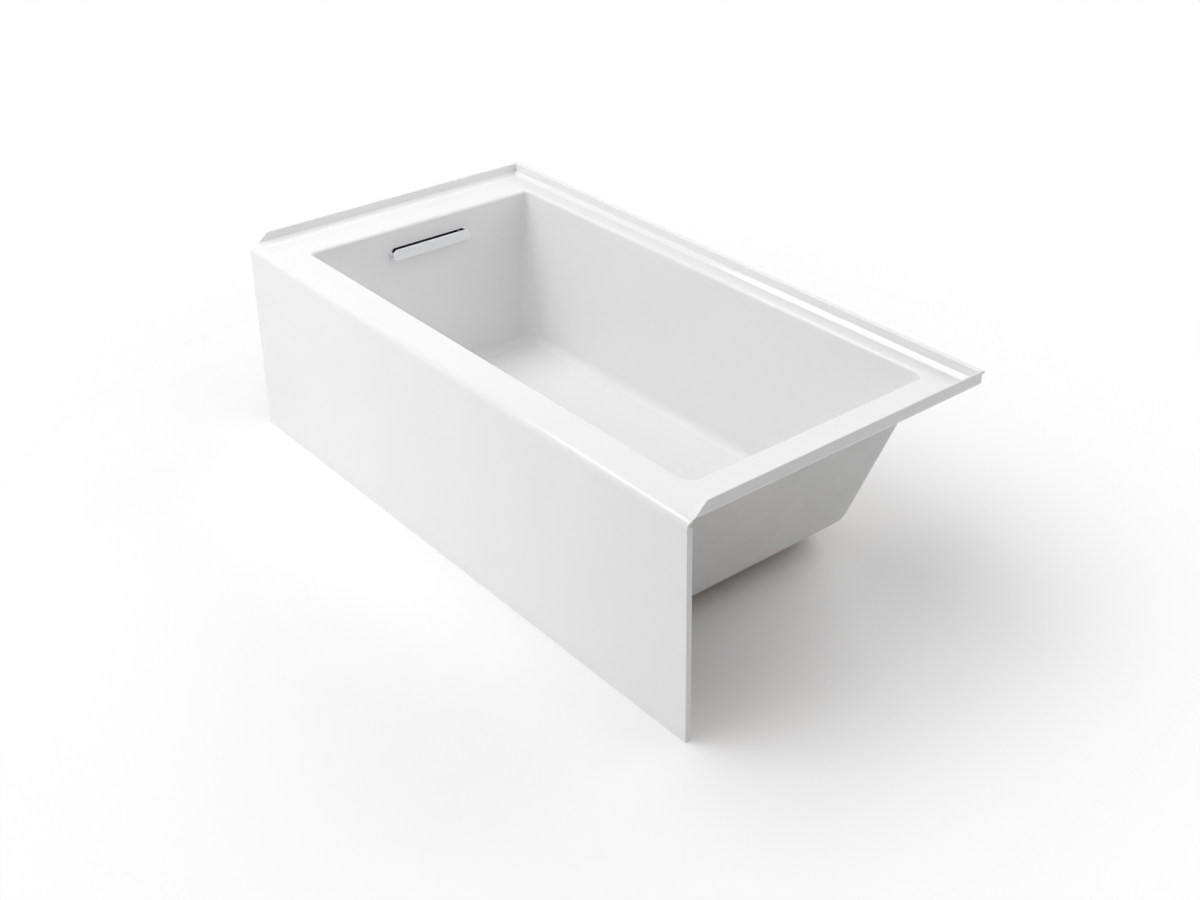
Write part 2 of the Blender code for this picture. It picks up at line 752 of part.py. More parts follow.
def build_drain(chrome, rubber):
    """Drain body that clamps the floor to the shoe, with its crossbars and its seal."""
    base = floor_z(WASTE_X) + 0.0006
    centre = (WASTE_X, WASTE_Y, 0.0)
    seal = [(0.034, base + 0.0015), (0.034, base), (0.0245, base), (0.0245, base + 0.0015)]
    place("drain_seal", turned("seal", seal), rubber, centre)
    low = base + 0.0015 + GAP
    body = [
        (0.0200, low + 0.0010),
        (0.0300, low + 0.0025),
        (0.0345, low + 0.0018),
        (0.0350, low),
        (0.0226, low),
        (0.0226, 0.0200),
        (0.0200, 0.0200),
    ]
    drain = place("drain_body", turned("drain", body), chrome, centre)
    bar_low, bar_high = 0.0345, 0.0380
    for turn, label in ((0, "long"), (90, "cross")):
        bar = box("bar", (-0.0210, -0.0022, bar_low), (0.0210, 0.0022, bar_high))
        bar.transform(Matrix.Rotation(math.radians(turn), 4, "Z"))
        combine(drain, helper(f"bar_{label}", bar, centre), "UNION")
    hub = cylinder("bar_hub", 0.0085, bar_low - 0.001, bar_high + 0.0005, 16)
    combine(drain, helper("bar_hub", hub, centre), "UNION")
    hole = cylinder("hub_hole", 0.0055, 0.03, 0.05, 16)
    combine(drain, helper("hub_hole", hole, centre), "DIFFERENCE")


def build_stopper(chrome, brass, rubber, spring_steel):
    """Toe-tap stopper: guide, spring, stem, seal and cap, standing open."""
    centre = (WASTE_X, WASTE_Y, 0.0)
    collar_low = 0.0385 + GAP
    profile = [
        (0.0, 0.0100),
        (0.0042, 0.0100),
        (0.0042, 0.0410),
        (0.0078, 0.0410),
        (0.0078, collar_low),
        (0.0052, collar_low),
        (0.0052, 0.0085),
        (0.0, 0.0085),
    ]
    place("stopper_guide", turned("guide", profile, closed=False, steps=16), brass, centre)
    stem = [
        (0.0, 0.0730),
        (0.0028, 0.0730),
        (0.0028, 0.0340),
        (0.0039, 0.0335),
        (0.0039, 0.0270),
        (0.0, 0.0270),
    ]
    slider = bpy.data.objects.new("stopper_axis", None)
    PARTS.objects.link(slider)
    slider.location = (WASTE_X, WASTE_Y, 0.0270)
    offset = Matrix.Translation((0, 0, -0.0270))
    stem_mesh = turned("stem", stem, closed=False, steps=16)
    stem_mesh.transform(offset)
    place("stopper_stem", stem_mesh, brass, parent=slider)
    flange_top = floor_z(WASTE_X) + 0.0006 + 0.0015 + GAP + 0.0025
    seal_low = flange_top + GAP + STOPPER_TRAVEL
    post_radius = 0.0070
    seal = [
        (0.0268, seal_low + 0.0018),
        (0.0268, seal_low),
        (post_radius + GAP, seal_low),
        (post_radius + GAP, seal_low + 0.0018),
    ]
    seal_mesh = turned("stopper_seal", seal)
    seal_mesh.transform(offset)
    place("stopper_seal", seal_mesh, rubber, parent=slider)
    under = seal_low + 0.0018 + GAP
    cap = [
        (0.0, under + 0.0055),
        (0.0150, under + 0.0051),
        (0.0260, under + 0.0038),
        (0.0295, under + 0.0024),
        (0.0300, under + 0.0010),
        (0.0295, under),
        (post_radius, under),
        (post_radius, 0.0600),
        (0.0031, 0.0600),
        (0.0031, 0.0733),
        (0.0, 0.0733),
    ]
    cap_mesh = turned("cap", cap, closed=False)
    cap_mesh.transform(offset)
    place("stopper_cap", cap_mesh, chrome, parent=slider)
    build_spring(spring_steel, centre)


def build_spring(spring_steel, centre):
    """Return spring under the stem: a helix of round wire."""
    turns = 6
    points_per_turn = 12
    wire = 0.0005
    low, high = 0.0103 + wire, 0.0267 - wire
    curve = bpy.data.curves.new("spring", "CURVE")
    curve.dimensions = "3D"
    curve.bevel_depth = wire
    curve.bevel_resolution = 1
    curve.use_fill_caps = True
    spline = curve.splines.new("POLY")
    count = turns * points_per_turn
    spline.points.add(count)
    for k, point in enumerate(spline.points):
        angle = 2 * math.pi * k / points_per_turn
        height = low + (high - low) * k / count
        point.co = (0.0033 * math.cos(angle), 0.0033 * math.sin(angle), height, 1.0)
    item = bpy.data.objects.new("spring_curve", curve)
    bpy.context.scene.collection.objects.link(item)
    depsgraph = bpy.context.evaluated_depsgraph_get()
    mesh = bpy.data.meshes.new_from_object(item.evaluated_get(depsgraph))
    bpy.data.objects.remove(item, do_unlink=True)
    bm = bmesh.new()
    bm.from_mesh(mesh)
    bpy.data.meshes.remove(mesh)
    bmesh.ops.remove_doubles(bm, verts=bm.verts, dist=0.00001)
    place("stopper_spring", mesh_from(bm, "spring"), spring_steel, centre)


# Build

clear_scene()
PARTS = new_collection(OBJECT_NAME)
CUTTERS = new_collection("cutters")
ACRYLIC = new_material("acrylic", (0.86, 0.86, 0.86), 0.12)
RESIN = new_material("resin", (0.74, 0.74, 0.73), 0.40)
FOAM = new_material("foam", (0.80, 0.76, 0.62), 0.90)
BOARD = new_material("particle_board", (0.55, 0.42, 0.27), 0.80)
TIMBER = new_material("timber", (0.66, 0.50, 0.31), 0.70)
STEEL = new_material("steel", (0.60, 0.61, 0.62), 0.35, 1.0)
CHROME = new_material("chrome", (0.86, 0.87, 0.88), 0.06, 1.0)
BRASS = new_material("brass", (0.75, 0.58, 0.30), 0.30, 1.0)
PIPE_PLASTIC = new_material("pipe_plastic", (0.88, 0.88, 0.87), 0.35)
NUT_PLASTIC = new_material("nut_plastic", (0.80, 0.80, 0.80), 0.45)
DARK_PLASTIC = new_material("dark_plastic", (0.05, 0.05, 0.055), 0.50)
RUBBER = new_material("rubber", (0.03, 0.03, 0.03), 0.80)

OVERFLOW_CUTTER = helper(
    "overflow_slot",
    tilted("overflow_slot", rounded_outline((-0.1040, -0.0065), (0.1040, 0.0065), 0.004), 0.02, -0.03),
    overflow_spot(),
)
DRAIN_CUTTER = helper("drain_hole", cylinder("drain_hole", 0.0240, 0.02, 0.10), (WASTE_X, WASTE_Y, 0.0))

build_shell(ACRYLIC)
build_backing(RESIN)
build_support(FOAM, BOARD)
build_feet(DARK_PLASTIC, RUBBER)
build_framing(TIMBER, BOARD, STEEL)
build_overflow_face(CHROME, STEEL, RUBBER)
build_overflow_housing(PIPE_PLASTIC)
build_pipes(PIPE_PLASTIC, NUT_PLASTIC, RUBBER)
build_shoe(PIPE_PLASTIC, RUBBER)
build_drain(CHROME, RUBBER)
build_stopper(CHROME, BRASS, RUBBER, STEEL)
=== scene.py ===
"""Looks of an alcove bath: gloss moulded tub, resin backing, framing, feet, overflow and waste.

Metres, +Z up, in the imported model's own frame: +X runs along the bath towards the sloped back
rest, -Y is the apron's side and z = 0 is the floor. Each sub-assembly is a class that builds its
pieces around the CAD nodes and dresses them in its finishes.
"""

import functools
import logging
import math
from dataclasses import dataclass
from enum import Enum
from typing import Callable, NamedTuple, Sequence

import bmesh
import bpy
from mathutils import Matrix, Vector, noise


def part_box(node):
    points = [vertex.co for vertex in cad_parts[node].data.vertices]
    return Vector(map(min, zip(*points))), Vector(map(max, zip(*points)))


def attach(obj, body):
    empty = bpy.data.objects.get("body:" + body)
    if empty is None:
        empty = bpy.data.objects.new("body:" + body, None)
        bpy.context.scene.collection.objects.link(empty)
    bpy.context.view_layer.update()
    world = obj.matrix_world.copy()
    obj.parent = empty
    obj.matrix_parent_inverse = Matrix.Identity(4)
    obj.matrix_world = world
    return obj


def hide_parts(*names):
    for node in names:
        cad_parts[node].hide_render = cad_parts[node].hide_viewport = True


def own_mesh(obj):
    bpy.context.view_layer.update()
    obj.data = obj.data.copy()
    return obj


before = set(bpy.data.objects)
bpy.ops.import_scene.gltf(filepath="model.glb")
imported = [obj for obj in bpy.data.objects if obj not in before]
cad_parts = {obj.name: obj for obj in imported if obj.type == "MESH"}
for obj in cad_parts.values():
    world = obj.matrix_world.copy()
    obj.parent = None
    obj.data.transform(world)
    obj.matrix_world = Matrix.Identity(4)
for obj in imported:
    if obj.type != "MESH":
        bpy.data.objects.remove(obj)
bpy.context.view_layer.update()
LOG = logging.getLogger("alcove_bath")

Point = tuple[float, float]
Outline = list[Point]
Place = tuple[float, float, float]
Colour = tuple[float, float, float]
Mesh = bpy.types.Mesh
Material = bpy.types.Material
Socket = bpy.types.NodeSocket

BATH = "bath"
ROUND_STEPS = 96
SHARP_ANGLE = math.radians(35)


class Axis(Enum):
    """Direction that an outline is pushed along or a profile is turned about."""

    X = "X"
    Y = "Y"
    Z = "Z"


class Slot(Enum):
    """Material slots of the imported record."""

    ACRYLIC = "acrylic"
    RESIN = "resin"
    FOAM = "foam"
    BOARD = "particle_board"
    TIMBER = "timber"
    STEEL = "steel"
    CHROME = "chrome"
    BRASS = "brass"
    PIPE = "pipe_plastic"
    NUT = "nut_plastic"
    DARK = "dark_plastic"
    RUBBER = "rubber"


# Outlines and meshes


def arc(centre: Point, radius: float, start: float, end: float, steps: int = 8) -> Outline:
    """Points of an arc.

    Args:
        centre: Centre of the arc.
        radius: Its radius.
        start: First angle in degrees.
        end: Last angle in degrees.
        steps: Number of chords.

    Returns:
        The points, both ends included.
    """
    angles = [math.radians(start + (end - start) * k / steps) for k in range(steps + 1)]
    return [(centre[0] + radius * math.cos(a), centre[1] + radius * math.sin(a)) for a in angles]


def corner_arcs(low: Point, high: Point, left: float, right: float, steps: int) -> list[Outline]:
    """Corner arcs of a rectangle with round corners.

    Args:
        low: Lowest corner.
        high: Highest corner.
        left: Radius of the two corners at the low x.
        right: Radius of the two corners at the high x.
        steps: Chords in each corner.

    Returns:
        The four arcs, in order round the outline.
    """
    (x0, y0), (x1, y1) = low, high
    places = (
        (x1 - right, y1 - right, right),
        (x0 + left, y1 - left, left),
        (x0 + left, y0 + left, left),
        (x1 - right, y0 + right, right),
    )
    return [
        arc((x, y), radius, 90 * k, 90 * k + 90, steps) for k, (x, y, radius) in enumerate(places)
    ]


def slot_outline(half: float, rise: float, corner: float = 0.0040) -> Outline:
    """Outline of a slot with round corners about the origin."""
    return sum(corner_arcs((-half, -rise), (half, rise), corner, corner, 6), [])


def eased(outline: Sequence[Point], radius: float, closed: bool = True, steps: int = 3) -> Outline:
    """Round the corners of an outline.

    Args:
        outline: Its corner points.
        radius: Length taken off each side of a corner, at most 0.4 of an edge.
        closed: Whether the last point joins the first.
        steps: Chords in each rounded corner.

    Returns:
        The outline with each corner replaced by a short curve.
    """
    points = [Vector(p) for p in outline]
    count = len(points)
    result: Outline = []
    for k, here in enumerate(points):
        if not closed and k in (0, count - 1):
            result.append(tuple(here))
            continue
        before, after = points[k - 1], points[(k + 1) % count]
        reach = min(radius, 0.4 * (before - here).length, 0.4 * (after - here).length)
        start = here + (before - here).normalized() * reach
        end = here + (after - here).normalized() * reach
        for step in range(steps + 1):
            t = step / steps
            result.append(tuple(start * (1 - t) ** 2 + here * 2 * t * (1 - t) + end * t * t))
    return result


def mesh_from(bm: bmesh.types.BMesh, name: str) -> Mesh:
    """Turn a bmesh into a mesh whose faces point out.

    Args:
        bm: The bmesh, which is freed.
        name: Name of the new mesh.

    Returns:
        The mesh.
    """
    bmesh.ops.recalc_face_normals(bm, faces=bm.faces)
    mesh = bpy.data.meshes.new(name)
    bm.to_mesh(mesh)
    bm.free()
    return mesh


def loft(name: str, rings: Sequence[Sequence[Place]], closed: bool = False) -> Mesh:
    """Solid through rings of equal point count.

    Args:
        name: Name of the mesh.
        rings: The rings, in order.
        closed: True joins the last ring to the first, and False caps both ends.

    Returns:
        The closed mesh.
    """
    bm = bmesh.new()
    loops = [[bm.verts.new(point) for point in ring] for ring in rings]
    pairs = list(zip(loops, loops[1:]))
    if closed:
        pairs.append((loops[-1], loops[0]))
    else:
        bm.faces.new(loops[0])
        bm.faces.new(loops[-1])
    for lower, upper in pairs:
        for k, vert in enumerate(lower):
            after = (k + 1) % len(lower)
            bm.faces.new((vert, lower[after], upper[after], upper[k]))
    return mesh_from(bm, name)


def prism(name: str, outline: Sequence[Point], axis: Axis, low: float, high: float) -> Mesh:
    """Solid of an outline pushed along an axis.

    Args:
        name: Name of the mesh.
        outline: (y, z) points for axis X, (x, z) for Y and (x, y) for Z.
        axis: The axis.
        low: Where the solid starts on the axis.
        high: Where it ends.

    Returns:
        The closed mesh.
    """
    place: Callable[[float, float, float], Place] = {
        Axis.X: lambda u, v, w: (w, u, v),
        Axis.Y: lambda u, v, w: (u, w, v),
        Axis.Z: lambda u, v, w: (u, v, w),
    }[axis]
    return loft(name, [[place(u, v, w) for u, v in outline] for w in (low, high)])


def block(name: str, low: Place, high: Place) -> Mesh:
    """Solid with square corners between two points."""
    (x0, y0, z0), (x1, y1, z1) = low, high
    return prism(name, [(x0, y0), (x1, y0), (x1, y1), (x0, y1)], Axis.Z, z0, z1)


def rod(radius: float, low: float, high: float) -> Outline:
    """Profile of a solid rod between two heights."""
    return [(0.0, high), (radius, high), (radius, low), (0.0, low)]


def collar(outer: float, inner: float, low: float, high: float) -> Outline:
    """Section of a ring between two heights."""
    return [(outer, high), (outer, low), (inner, low), (inner, high)]


def turned(
    profile: Sequence[Point],
    edge: float = 0.0,
    axis: Axis = Axis.Z,
    steps: int = ROUND_STEPS,
) -> Mesh:
    """Solid of a profile turned about an axis.

    Args:
        profile: (radius, height) points of a ring's section, or of a run from axis to axis.
        edge: Rounding of the profile's corners.
        axis: Z or X.
        steps: Segments around the axis.

    Returns:
        The closed mesh.
    """
    closed = profile[0][0] > 0
    bm = bmesh.new()
    turns = [2 * math.pi * k / steps for k in range(steps)]
    loops = []
    for radius, height in eased(profile, edge, closed) if edge else profile:
        if radius < 1e-7:
            loops.append([bm.verts.new((0.0, 0.0, height))] * steps)
        else:
            ring = [(radius * math.cos(a), radius * math.sin(a), height) for a in turns]
            loops.append([bm.verts.new(point) for point in ring])
    pairs = list(zip(loops, loops[1:]))
    if closed:
        pairs.append((loops[-1], loops[0]))
    for lower, upper in pairs:
        for k in range(steps):
            after = (k + 1) % steps
            corners = dict.fromkeys((lower[k], lower[after], upper[after], upper[k]))
            if len(corners) > 2:
                bm.faces.new(tuple(corners))
    if axis is Axis.X:
        bmesh.ops.rotate(bm, matrix=Matrix.Rotation(math.pi / 2, 3, "Y"), verts=bm.verts)
    return mesh_from(bm, "turned")


def flute(mesh: Mesh, count: int, depth: float, above: float, axis: Axis = Axis.Z) -> None:
    """Press grip flutes into the outside of a turned mesh.

    Args:
        mesh: The mesh, about the axis.
        count: Number of flutes.
        depth: Their depth.
        above: Only points at this radius or more are pressed in.
        axis: Z or X.
    """
    for vert in mesh.vertices:
        u, v = (vert.co.x, vert.co.y) if axis is Axis.Z else (vert.co.z, vert.co.y)
        radius = math.hypot(u, v)
        if radius < above:
            continue
        wave = 0.5 - 0.5 * math.cos(count * math.atan2(v, u))
        share = 1 - depth * wave**3 / radius
        if axis is Axis.Z:
            vert.co.x, vert.co.y = u * share, v * share
        else:
            vert.co.z, vert.co.y = u * share, v * share


class Workpiece:
    """A solid that is cut, joined and eased before it becomes a finished piece."""

    def __init__(self, name: str, mesh: Mesh) -> None:
        """Put the mesh on the bench as one object."""
        self.item = bpy.data.objects.new(name, mesh)
        bpy.context.scene.collection.objects.link(self.item)

    def _apply(self) -> None:
        """Turn the modifiers' result into the piece's own mesh."""
        depsgraph = bpy.context.evaluated_depsgraph_get()
        old = self.item.data
        made = bpy.data.meshes.new_from_object(self.item.evaluated_get(depsgraph))
        self.item.modifiers.clear()
        self.item.data = made
        bpy.data.meshes.remove(old)

    def _combine(self, mesh: Mesh, operation: str) -> "Workpiece":
        """Combine with another solid.

        Args:
            mesh: The other solid, which is used up.
            operation: UNION or DIFFERENCE.

        Returns:
            This workpiece.
        """
        other = bpy.data.objects.new("cutter", mesh)
        bpy.context.scene.collection.objects.link(other)
        modifier = self.item.modifiers.new("combine", "BOOLEAN")
        modifier.operation = operation
        modifier.solver = "EXACT"
        modifier.object = other
        self._apply()
        bpy.data.objects.remove(other)
        bpy.data.meshes.remove(mesh)
        return self

    def join(self, mesh: Mesh) -> "Workpiece":
        """Join another solid to this one."""
        return self._combine(mesh, "UNION")

    def cut(self, mesh: Mesh) -> "Workpiece":
        """Take another solid away from this one."""
        return self._combine(mesh, "DIFFERENCE")

    def ease(self, width: float, segments: int = 3, angle: float = 40.0) -> "Workpiece":
        """Round the sharp edges.

        Args:
            width: Width of the rounding.
            segments: Strips in each rounding.
            angle: Edges sharper than this many degrees are rounded.

        Returns:
            This workpiece.
        """
        modifier = self.item.modifiers.new("ease", "BEVEL")
        modifier.width = width
        modifier.segments = segments
        modifier.limit_method = "ANGLE"
        modifier.angle_limit = math.radians(angle)
        self._apply()
        return self

    def take(self) -> Mesh:
        """Take the mesh off the bench, to join or cut another workpiece with it.

        Returns:
            The mesh.
        """
        mesh = self.item.data
        bpy.data.objects.remove(self.item)
        return mesh

    def finish(
        self, finish: "Finish", *replaces: str, body: str = BATH, inside: "Finish | None" = None
    ) -> bpy.types.Object:
        """Dress the piece and fix it to its body.

        Args:
            finish: Its finish.
            *replaces: CAD nodes it stands for.
            body: The CAD body it moves with.
            inside: Finish of the faces that were given material index 1.

        Returns:
            The finished piece.
        """
        mesh = self.item.data
        mesh.name = self.item.name
        mesh.materials.clear()
        for coat in filter(None, (finish, inside)):
            mesh.materials.append(material_of(coat))
        mesh.shade_smooth()
        mesh.set_sharp_from_angle(angle=SHARP_ANGLE)
        normals = self.item.modifiers.new("even_normals", "WEIGHTED_NORMAL")
        normals.keep_sharp = True
        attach(self.item, body)
        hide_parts(*replaces)
        LOG.info("%s rides on %s", self.item.name, body)
        return self.item


# Finishes


class Graph:
    """Builds one material's nodes, measured in metres of the model's frame."""

    def __init__(self, name: str) -> None:
        """Start a material with a Principled shader.

        Args:
            name: The material's name.
        """
        self.material = bpy.data.materials.new(name)
        self.material.use_nodes = True
        self.tree = self.material.node_tree
        self.shader = self.tree.nodes["Principled BSDF"]
        self.coordinates = self.add("ShaderNodeTexCoord").outputs["Object"]
        self.normal: Socket | None = None

    def add(self, kind: str, settings: dict | None = None, **inputs: object) -> bpy.types.Node:
        """Add a node.

        Args:
            kind: The node's type.
            settings: Values of its own properties.
            **inputs: Sockets to link or values to set, with _ for a space in the name.

        Returns:
            The node.
        """
        node = self.tree.nodes.new(kind)
        for name, value in (settings or {}).items():
            setattr(node, name, value)
        for name, value in inputs.items():
            socket = node.inputs[name.replace("_", " ")]
            if isinstance(value, Socket):
                self.tree.links.new(value, socket)
            else:
                socket.default_value = value
        return node

    def stretched(self, scale: Place) -> Socket:
        """Coordinates scaled by a different factor along each axis."""
        return self.add("ShaderNodeMapping", Vector=self.coordinates, Scale=scale).outputs["Vector"]

    def noise(
        self,
        scale: float,
        detail: float = 3.0,
        roughness: float = 0.5,
        vector: Socket | None = None,
        distortion: float = 0.0,
    ) -> Socket:
        """Noise from 0 to 1.

        Args:
            scale: Its frequency, per metre.
            detail: Octaves.
            roughness: Share of each next octave.
            vector: Coordinates, or None for the frame's.
            distortion: How much it is swirled.

        Returns:
            The value socket.
        """
        node = self.add(
            "ShaderNodeTexNoise", Vector=vector or self.coordinates, Scale=scale, Detail=detail,
            Roughness=roughness, Distortion=distortion,
        )
        return node.outputs["Fac"]

    def cells(self, scale: float, output: str = "Distance") -> Socket:
        """Voronoi cells: the distance to each cell's centre, or its own random colour."""
        node = self.add("ShaderNodeTexVoronoi", Vector=self.coordinates, Scale=scale)
        return node.outputs[output]

    def ramp(
        self, value: Socket, low: float, high: float, first: Colour, last: Colour
    ) -> Socket:
        """Blend of two colours over a range of a value.

        Args:
            value: The value.
            low: Where the first colour ends.
            high: Where the last colour starts.
            first: Colour below low.
            last: Colour above high.

        Returns:
            The colour socket.
        """
        node = self.add("ShaderNodeValToRGB", Fac=value)
        ends = node.color_ramp.elements
        ends[0].position, ends[1].position = low, high
        ends[0].color, ends[1].color = (*first, 1.0), (*last, 1.0)
        return node.outputs["Color"]

    def layered(
        self, share: Socket, under: Socket, over: Socket
    ) -> Socket:
        """One colour over another.

        Args:
            share: How much the upper colour covers.
            under: The lower colour.
            over: The upper colour.

        Returns:
            The colour socket.
        """
        mixer = self.add("ShaderNodeMix", {"data_type": "RGBA"})
        for index, socket in ((0, share), (6, under), (7, over)):
            self.tree.links.new(socket, mixer.inputs[index])
        return mixer.outputs[2]

    def colour(self, socket: Socket) -> None:
        """Use a colour as the base colour."""
        self.tree.links.new(socket, self.shader.inputs["Base Color"])

    def roughness(self, value: Socket, low: float, high: float) -> None:
        """Let the roughness wander between two values."""
        node = self.add("ShaderNodeMapRange", Value=value, To_Min=low, To_Max=high)
        self.tree.links.new(node.outputs["Result"], self.shader.inputs["Roughness"])

    def bump(self, height: Socket, depth: float) -> None:
        """Add relief on top of any relief there is.

        Args:
            height: The relief's pattern, from 0 to 1.
            depth: Its depth in metres.
        """
        node = self.add("ShaderNodeBump", Height=height, Distance=depth, Strength=1.0)
        if self.normal is not None:
            self.tree.links.new(self.normal, node.inputs["Normal"])
        self.normal = node.outputs["Normal"]
        self.tree.links.new(self.normal, self.shader.inputs["Normal"])


def shaded(colour: Colour, share: float) -> Colour:
    """A colour made lighter or darker by a share."""
    return tuple(min(1.0, part * share) for part in colour)


@dataclass(frozen=True)
class Finish:
    """Even finish with a faint mottle and a fine surface texture."""

    slot: Slot
    colour: Colour
    roughness: float
    metallic: float = 0.0
    mottle: float = 0.04
    mottle_scale: float = 25.0
    grain_scale: float = 900.0
    grain_depth: float = 0.00003

    def make(self) -> Material:
        """Make the material.

        Returns:
            The material.
        """
        graph = Graph(self.slot.value + "_finish")
        graph.shader.inputs["Metallic"].default_value = self.metallic
        self.paint(graph)
        return graph.material

    def paint(self, graph: Graph) -> None:
        """Lay the colour, roughness and relief on a graph.

        Args:
            graph: The nodes of the material.
        """
        cloud = graph.noise(self.mottle_scale, 4.0)
        dark, light = shaded(self.colour, 1 - self.mottle), shaded(self.colour, 1 + self.mottle)
        graph.colour(graph.ramp(cloud, 0.3, 0.7, dark, light))
        patches = graph.noise(self.mottle_scale * 3)
        graph.roughness(patches, self.roughness * 0.8, self.roughness * 1.2)
        graph.bump(graph.noise(self.grain_scale, 2.0), self.grain_depth)


@dataclass(frozen=True)
class GlossAcrylic(Finish):
    """Moulded sheet: clean white gloss with a trace of ripple from forming."""

    ripple_scale: float = 9.0
    ripple_depth: float = 0.00010

    def paint(self, graph: Graph) -> None:
        """Lay the gloss, its slow ripple and its peel.

        Args:
            graph: The nodes of the material.
        """
        super().paint(graph)
        graph.shader.inputs["IOR"].default_value = 1.49
        graph.bump(graph.noise(self.ripple_scale, 1.0), self.ripple_depth)


@dataclass(frozen=True)
class FibreResin(Finish):
    """Sprayed glass fibre in resin: short strands lying every way under a thick gloss."""

    strand_depth: float = 0.00025
    families: tuple[Place, ...] = ((40.0, 500.0, 120.0), (500.0, 45.0, 60.0), (90.0, 70.0, 480.0))

    def paint(self, graph: Graph) -> None:
        """Lay three families of strands over a lumpy base.

        Args:
            graph: The nodes of the material.
        """
        super().paint(graph)
        for turn, scale in enumerate(self.families):
            strands = graph.noise(1.0, 2.0, 0.6, graph.stretched(scale), 0.4 + 0.2 * turn)
            graph.bump(strands, self.strand_depth)


@dataclass(frozen=True)
class RigidFoam(Finish):
    """Poured foam: a skin of small blisters."""

    cell_scale: float = 260.0

    def paint(self, graph: Graph) -> None:
        """Lay blisters of two sizes.

        Args:
            graph: The nodes of the material.
        """
        super().paint(graph)
        graph.bump(graph.cells(self.cell_scale), 0.0006)
        graph.bump(graph.cells(self.cell_scale / 4), 0.0010)


@dataclass(frozen=True)
class ChipBoard(Finish):
    """Pressed wood chips of mixed colour and size."""

    chip_scale: float = 240.0

    def paint(self, graph: Graph) -> None:
        """Lay large chips over fine ones.

        Args:
            graph: The nodes of the material.
        """
        dusk, pale, dark, light = (shaded(self.colour, share) for share in (0.62, 1.15, 0.75, 1.45))
        fine = graph.ramp(graph.noise(700.0, 2.0), 0.35, 0.65, dusk, pale)
        tone = graph.add("ShaderNodeSeparateColor", Color=graph.cells(self.chip_scale, "Color"))
        chips = graph.ramp(tone.outputs["Red"], 0.1, 0.9, dark, light)
        graph.colour(graph.layered(tone.outputs["Green"], fine, chips))
        graph.roughness(graph.noise(80.0), self.roughness * 0.9, self.roughness * 1.1)
        graph.bump(graph.cells(self.chip_scale), 0.0002)


@dataclass(frozen=True)
class SawnTimber(Finish):
    """Sawn softwood with growth rings along one axis and faint saw marks across it."""

    along: Axis = Axis.X
    ring_scale: float = 110.0

    def paint(self, graph: Graph) -> None:
        """Lay the rings, the streaks and the saw marks.

        Args:
            graph: The nodes of the material.
        """
        slow, quick = 0.05, 1.0
        stretch = tuple(slow if axis is self.along else quick for axis in Axis)
        streaks = graph.noise(self.ring_scale, 5.0, 0.6, graph.stretched(stretch), 1.2)
        late, early = shaded(self.colour, 0.55), shaded(self.colour, 1.25)
        graph.colour(graph.ramp(streaks, 0.38, 0.62, late, early))
        graph.roughness(streaks, self.roughness * 1.1, self.roughness * 0.85)
        graph.bump(streaks, 0.0003)
        saw = tuple(quick if axis is self.along else slow for axis in Axis)
        graph.bump(graph.noise(420.0, 1.0, 0.5, graph.stretched(saw)), 0.00015)


@dataclass(frozen=True)
class PolishedMetal(Finish):
    """Plated or turned metal with hairline polishing marks."""

    hair_depth: float = 0.000004

    def paint(self, graph: Graph) -> None:
        """Lay the tone, the gloss and the hairlines.

        Args:
            graph: The nodes of the material.
        """
        super().paint(graph)
        hairs = graph.noise(1.0, 2.0, 0.6, graph.stretched((900.0, 60.0, 1400.0)))
        graph.bump(hairs, self.hair_depth)


@functools.cache
def material_of(finish: Finish) -> Material:
    """Material of a finish, made once."""
    return finish.make()


ACRYLIC = GlossAcrylic(Slot.ACRYLIC, (0.86, 0.86, 0.86), 0.09, 0.0, 0.008, 4.0, 260.0, 0.000004)
RESIN = FibreResin(Slot.RESIN, (0.66, 0.66, 0.655), 0.34, 0.0, 0.03, 14.0, 120.0, 0.0002)
FOAM = RigidFoam(Slot.FOAM, (0.74, 0.69, 0.56), 0.80, 0.0, 0.12, 18.0)
BOARD = ChipBoard(Slot.BOARD, (0.42, 0.28, 0.15), 0.80)
TIMBER = SawnTimber(Slot.TIMBER, (0.55, 0.36, 0.19), 0.70)
STUD_TIMBER = SawnTimber(Slot.TIMBER, (0.55, 0.36, 0.19), 0.70, along=Axis.Z)
STEEL = PolishedMetal(Slot.STEEL, (0.56, 0.57, 0.58), 0.34, 1.0, 0.10, 60.0)
CHROME = PolishedMetal(Slot.CHROME, (0.83, 0.84, 0.85), 0.06, 1.0, 0.015, 30.0, 1500.0, 0.000001)
BRASS = PolishedMetal(Slot.BRASS, (0.72, 0.50, 0.22), 0.26, 1.0, 0.08, 90.0)
PIPE = Finish(Slot.PIPE, (0.76, 0.76, 0.75), 0.30)
NUT = Finish(Slot.NUT, (0.62, 0.62, 0.62), 0.42)
DARK = Finish(Slot.DARK, (0.012, 0.012, 0.013), 0.45, 0.0, 0.15)
RUBBER = Finish(Slot.RUBBER, (0.022, 0.022, 0.022), 0.72, 0.0, 0.2, 40.0, 1500.0, 0.00006)


# The tub's form


class Walls(NamedTuple):
    """Places of the basin's four walls at one level."""

    left: float
    right: float
    front: float
    back: float

    def towards(self, other: "Walls", share: float) -> "Walls":
        """Walls part of the way to another level."""
        return Walls(*(a + (b - a) * share for a, b in zip(self, other)))


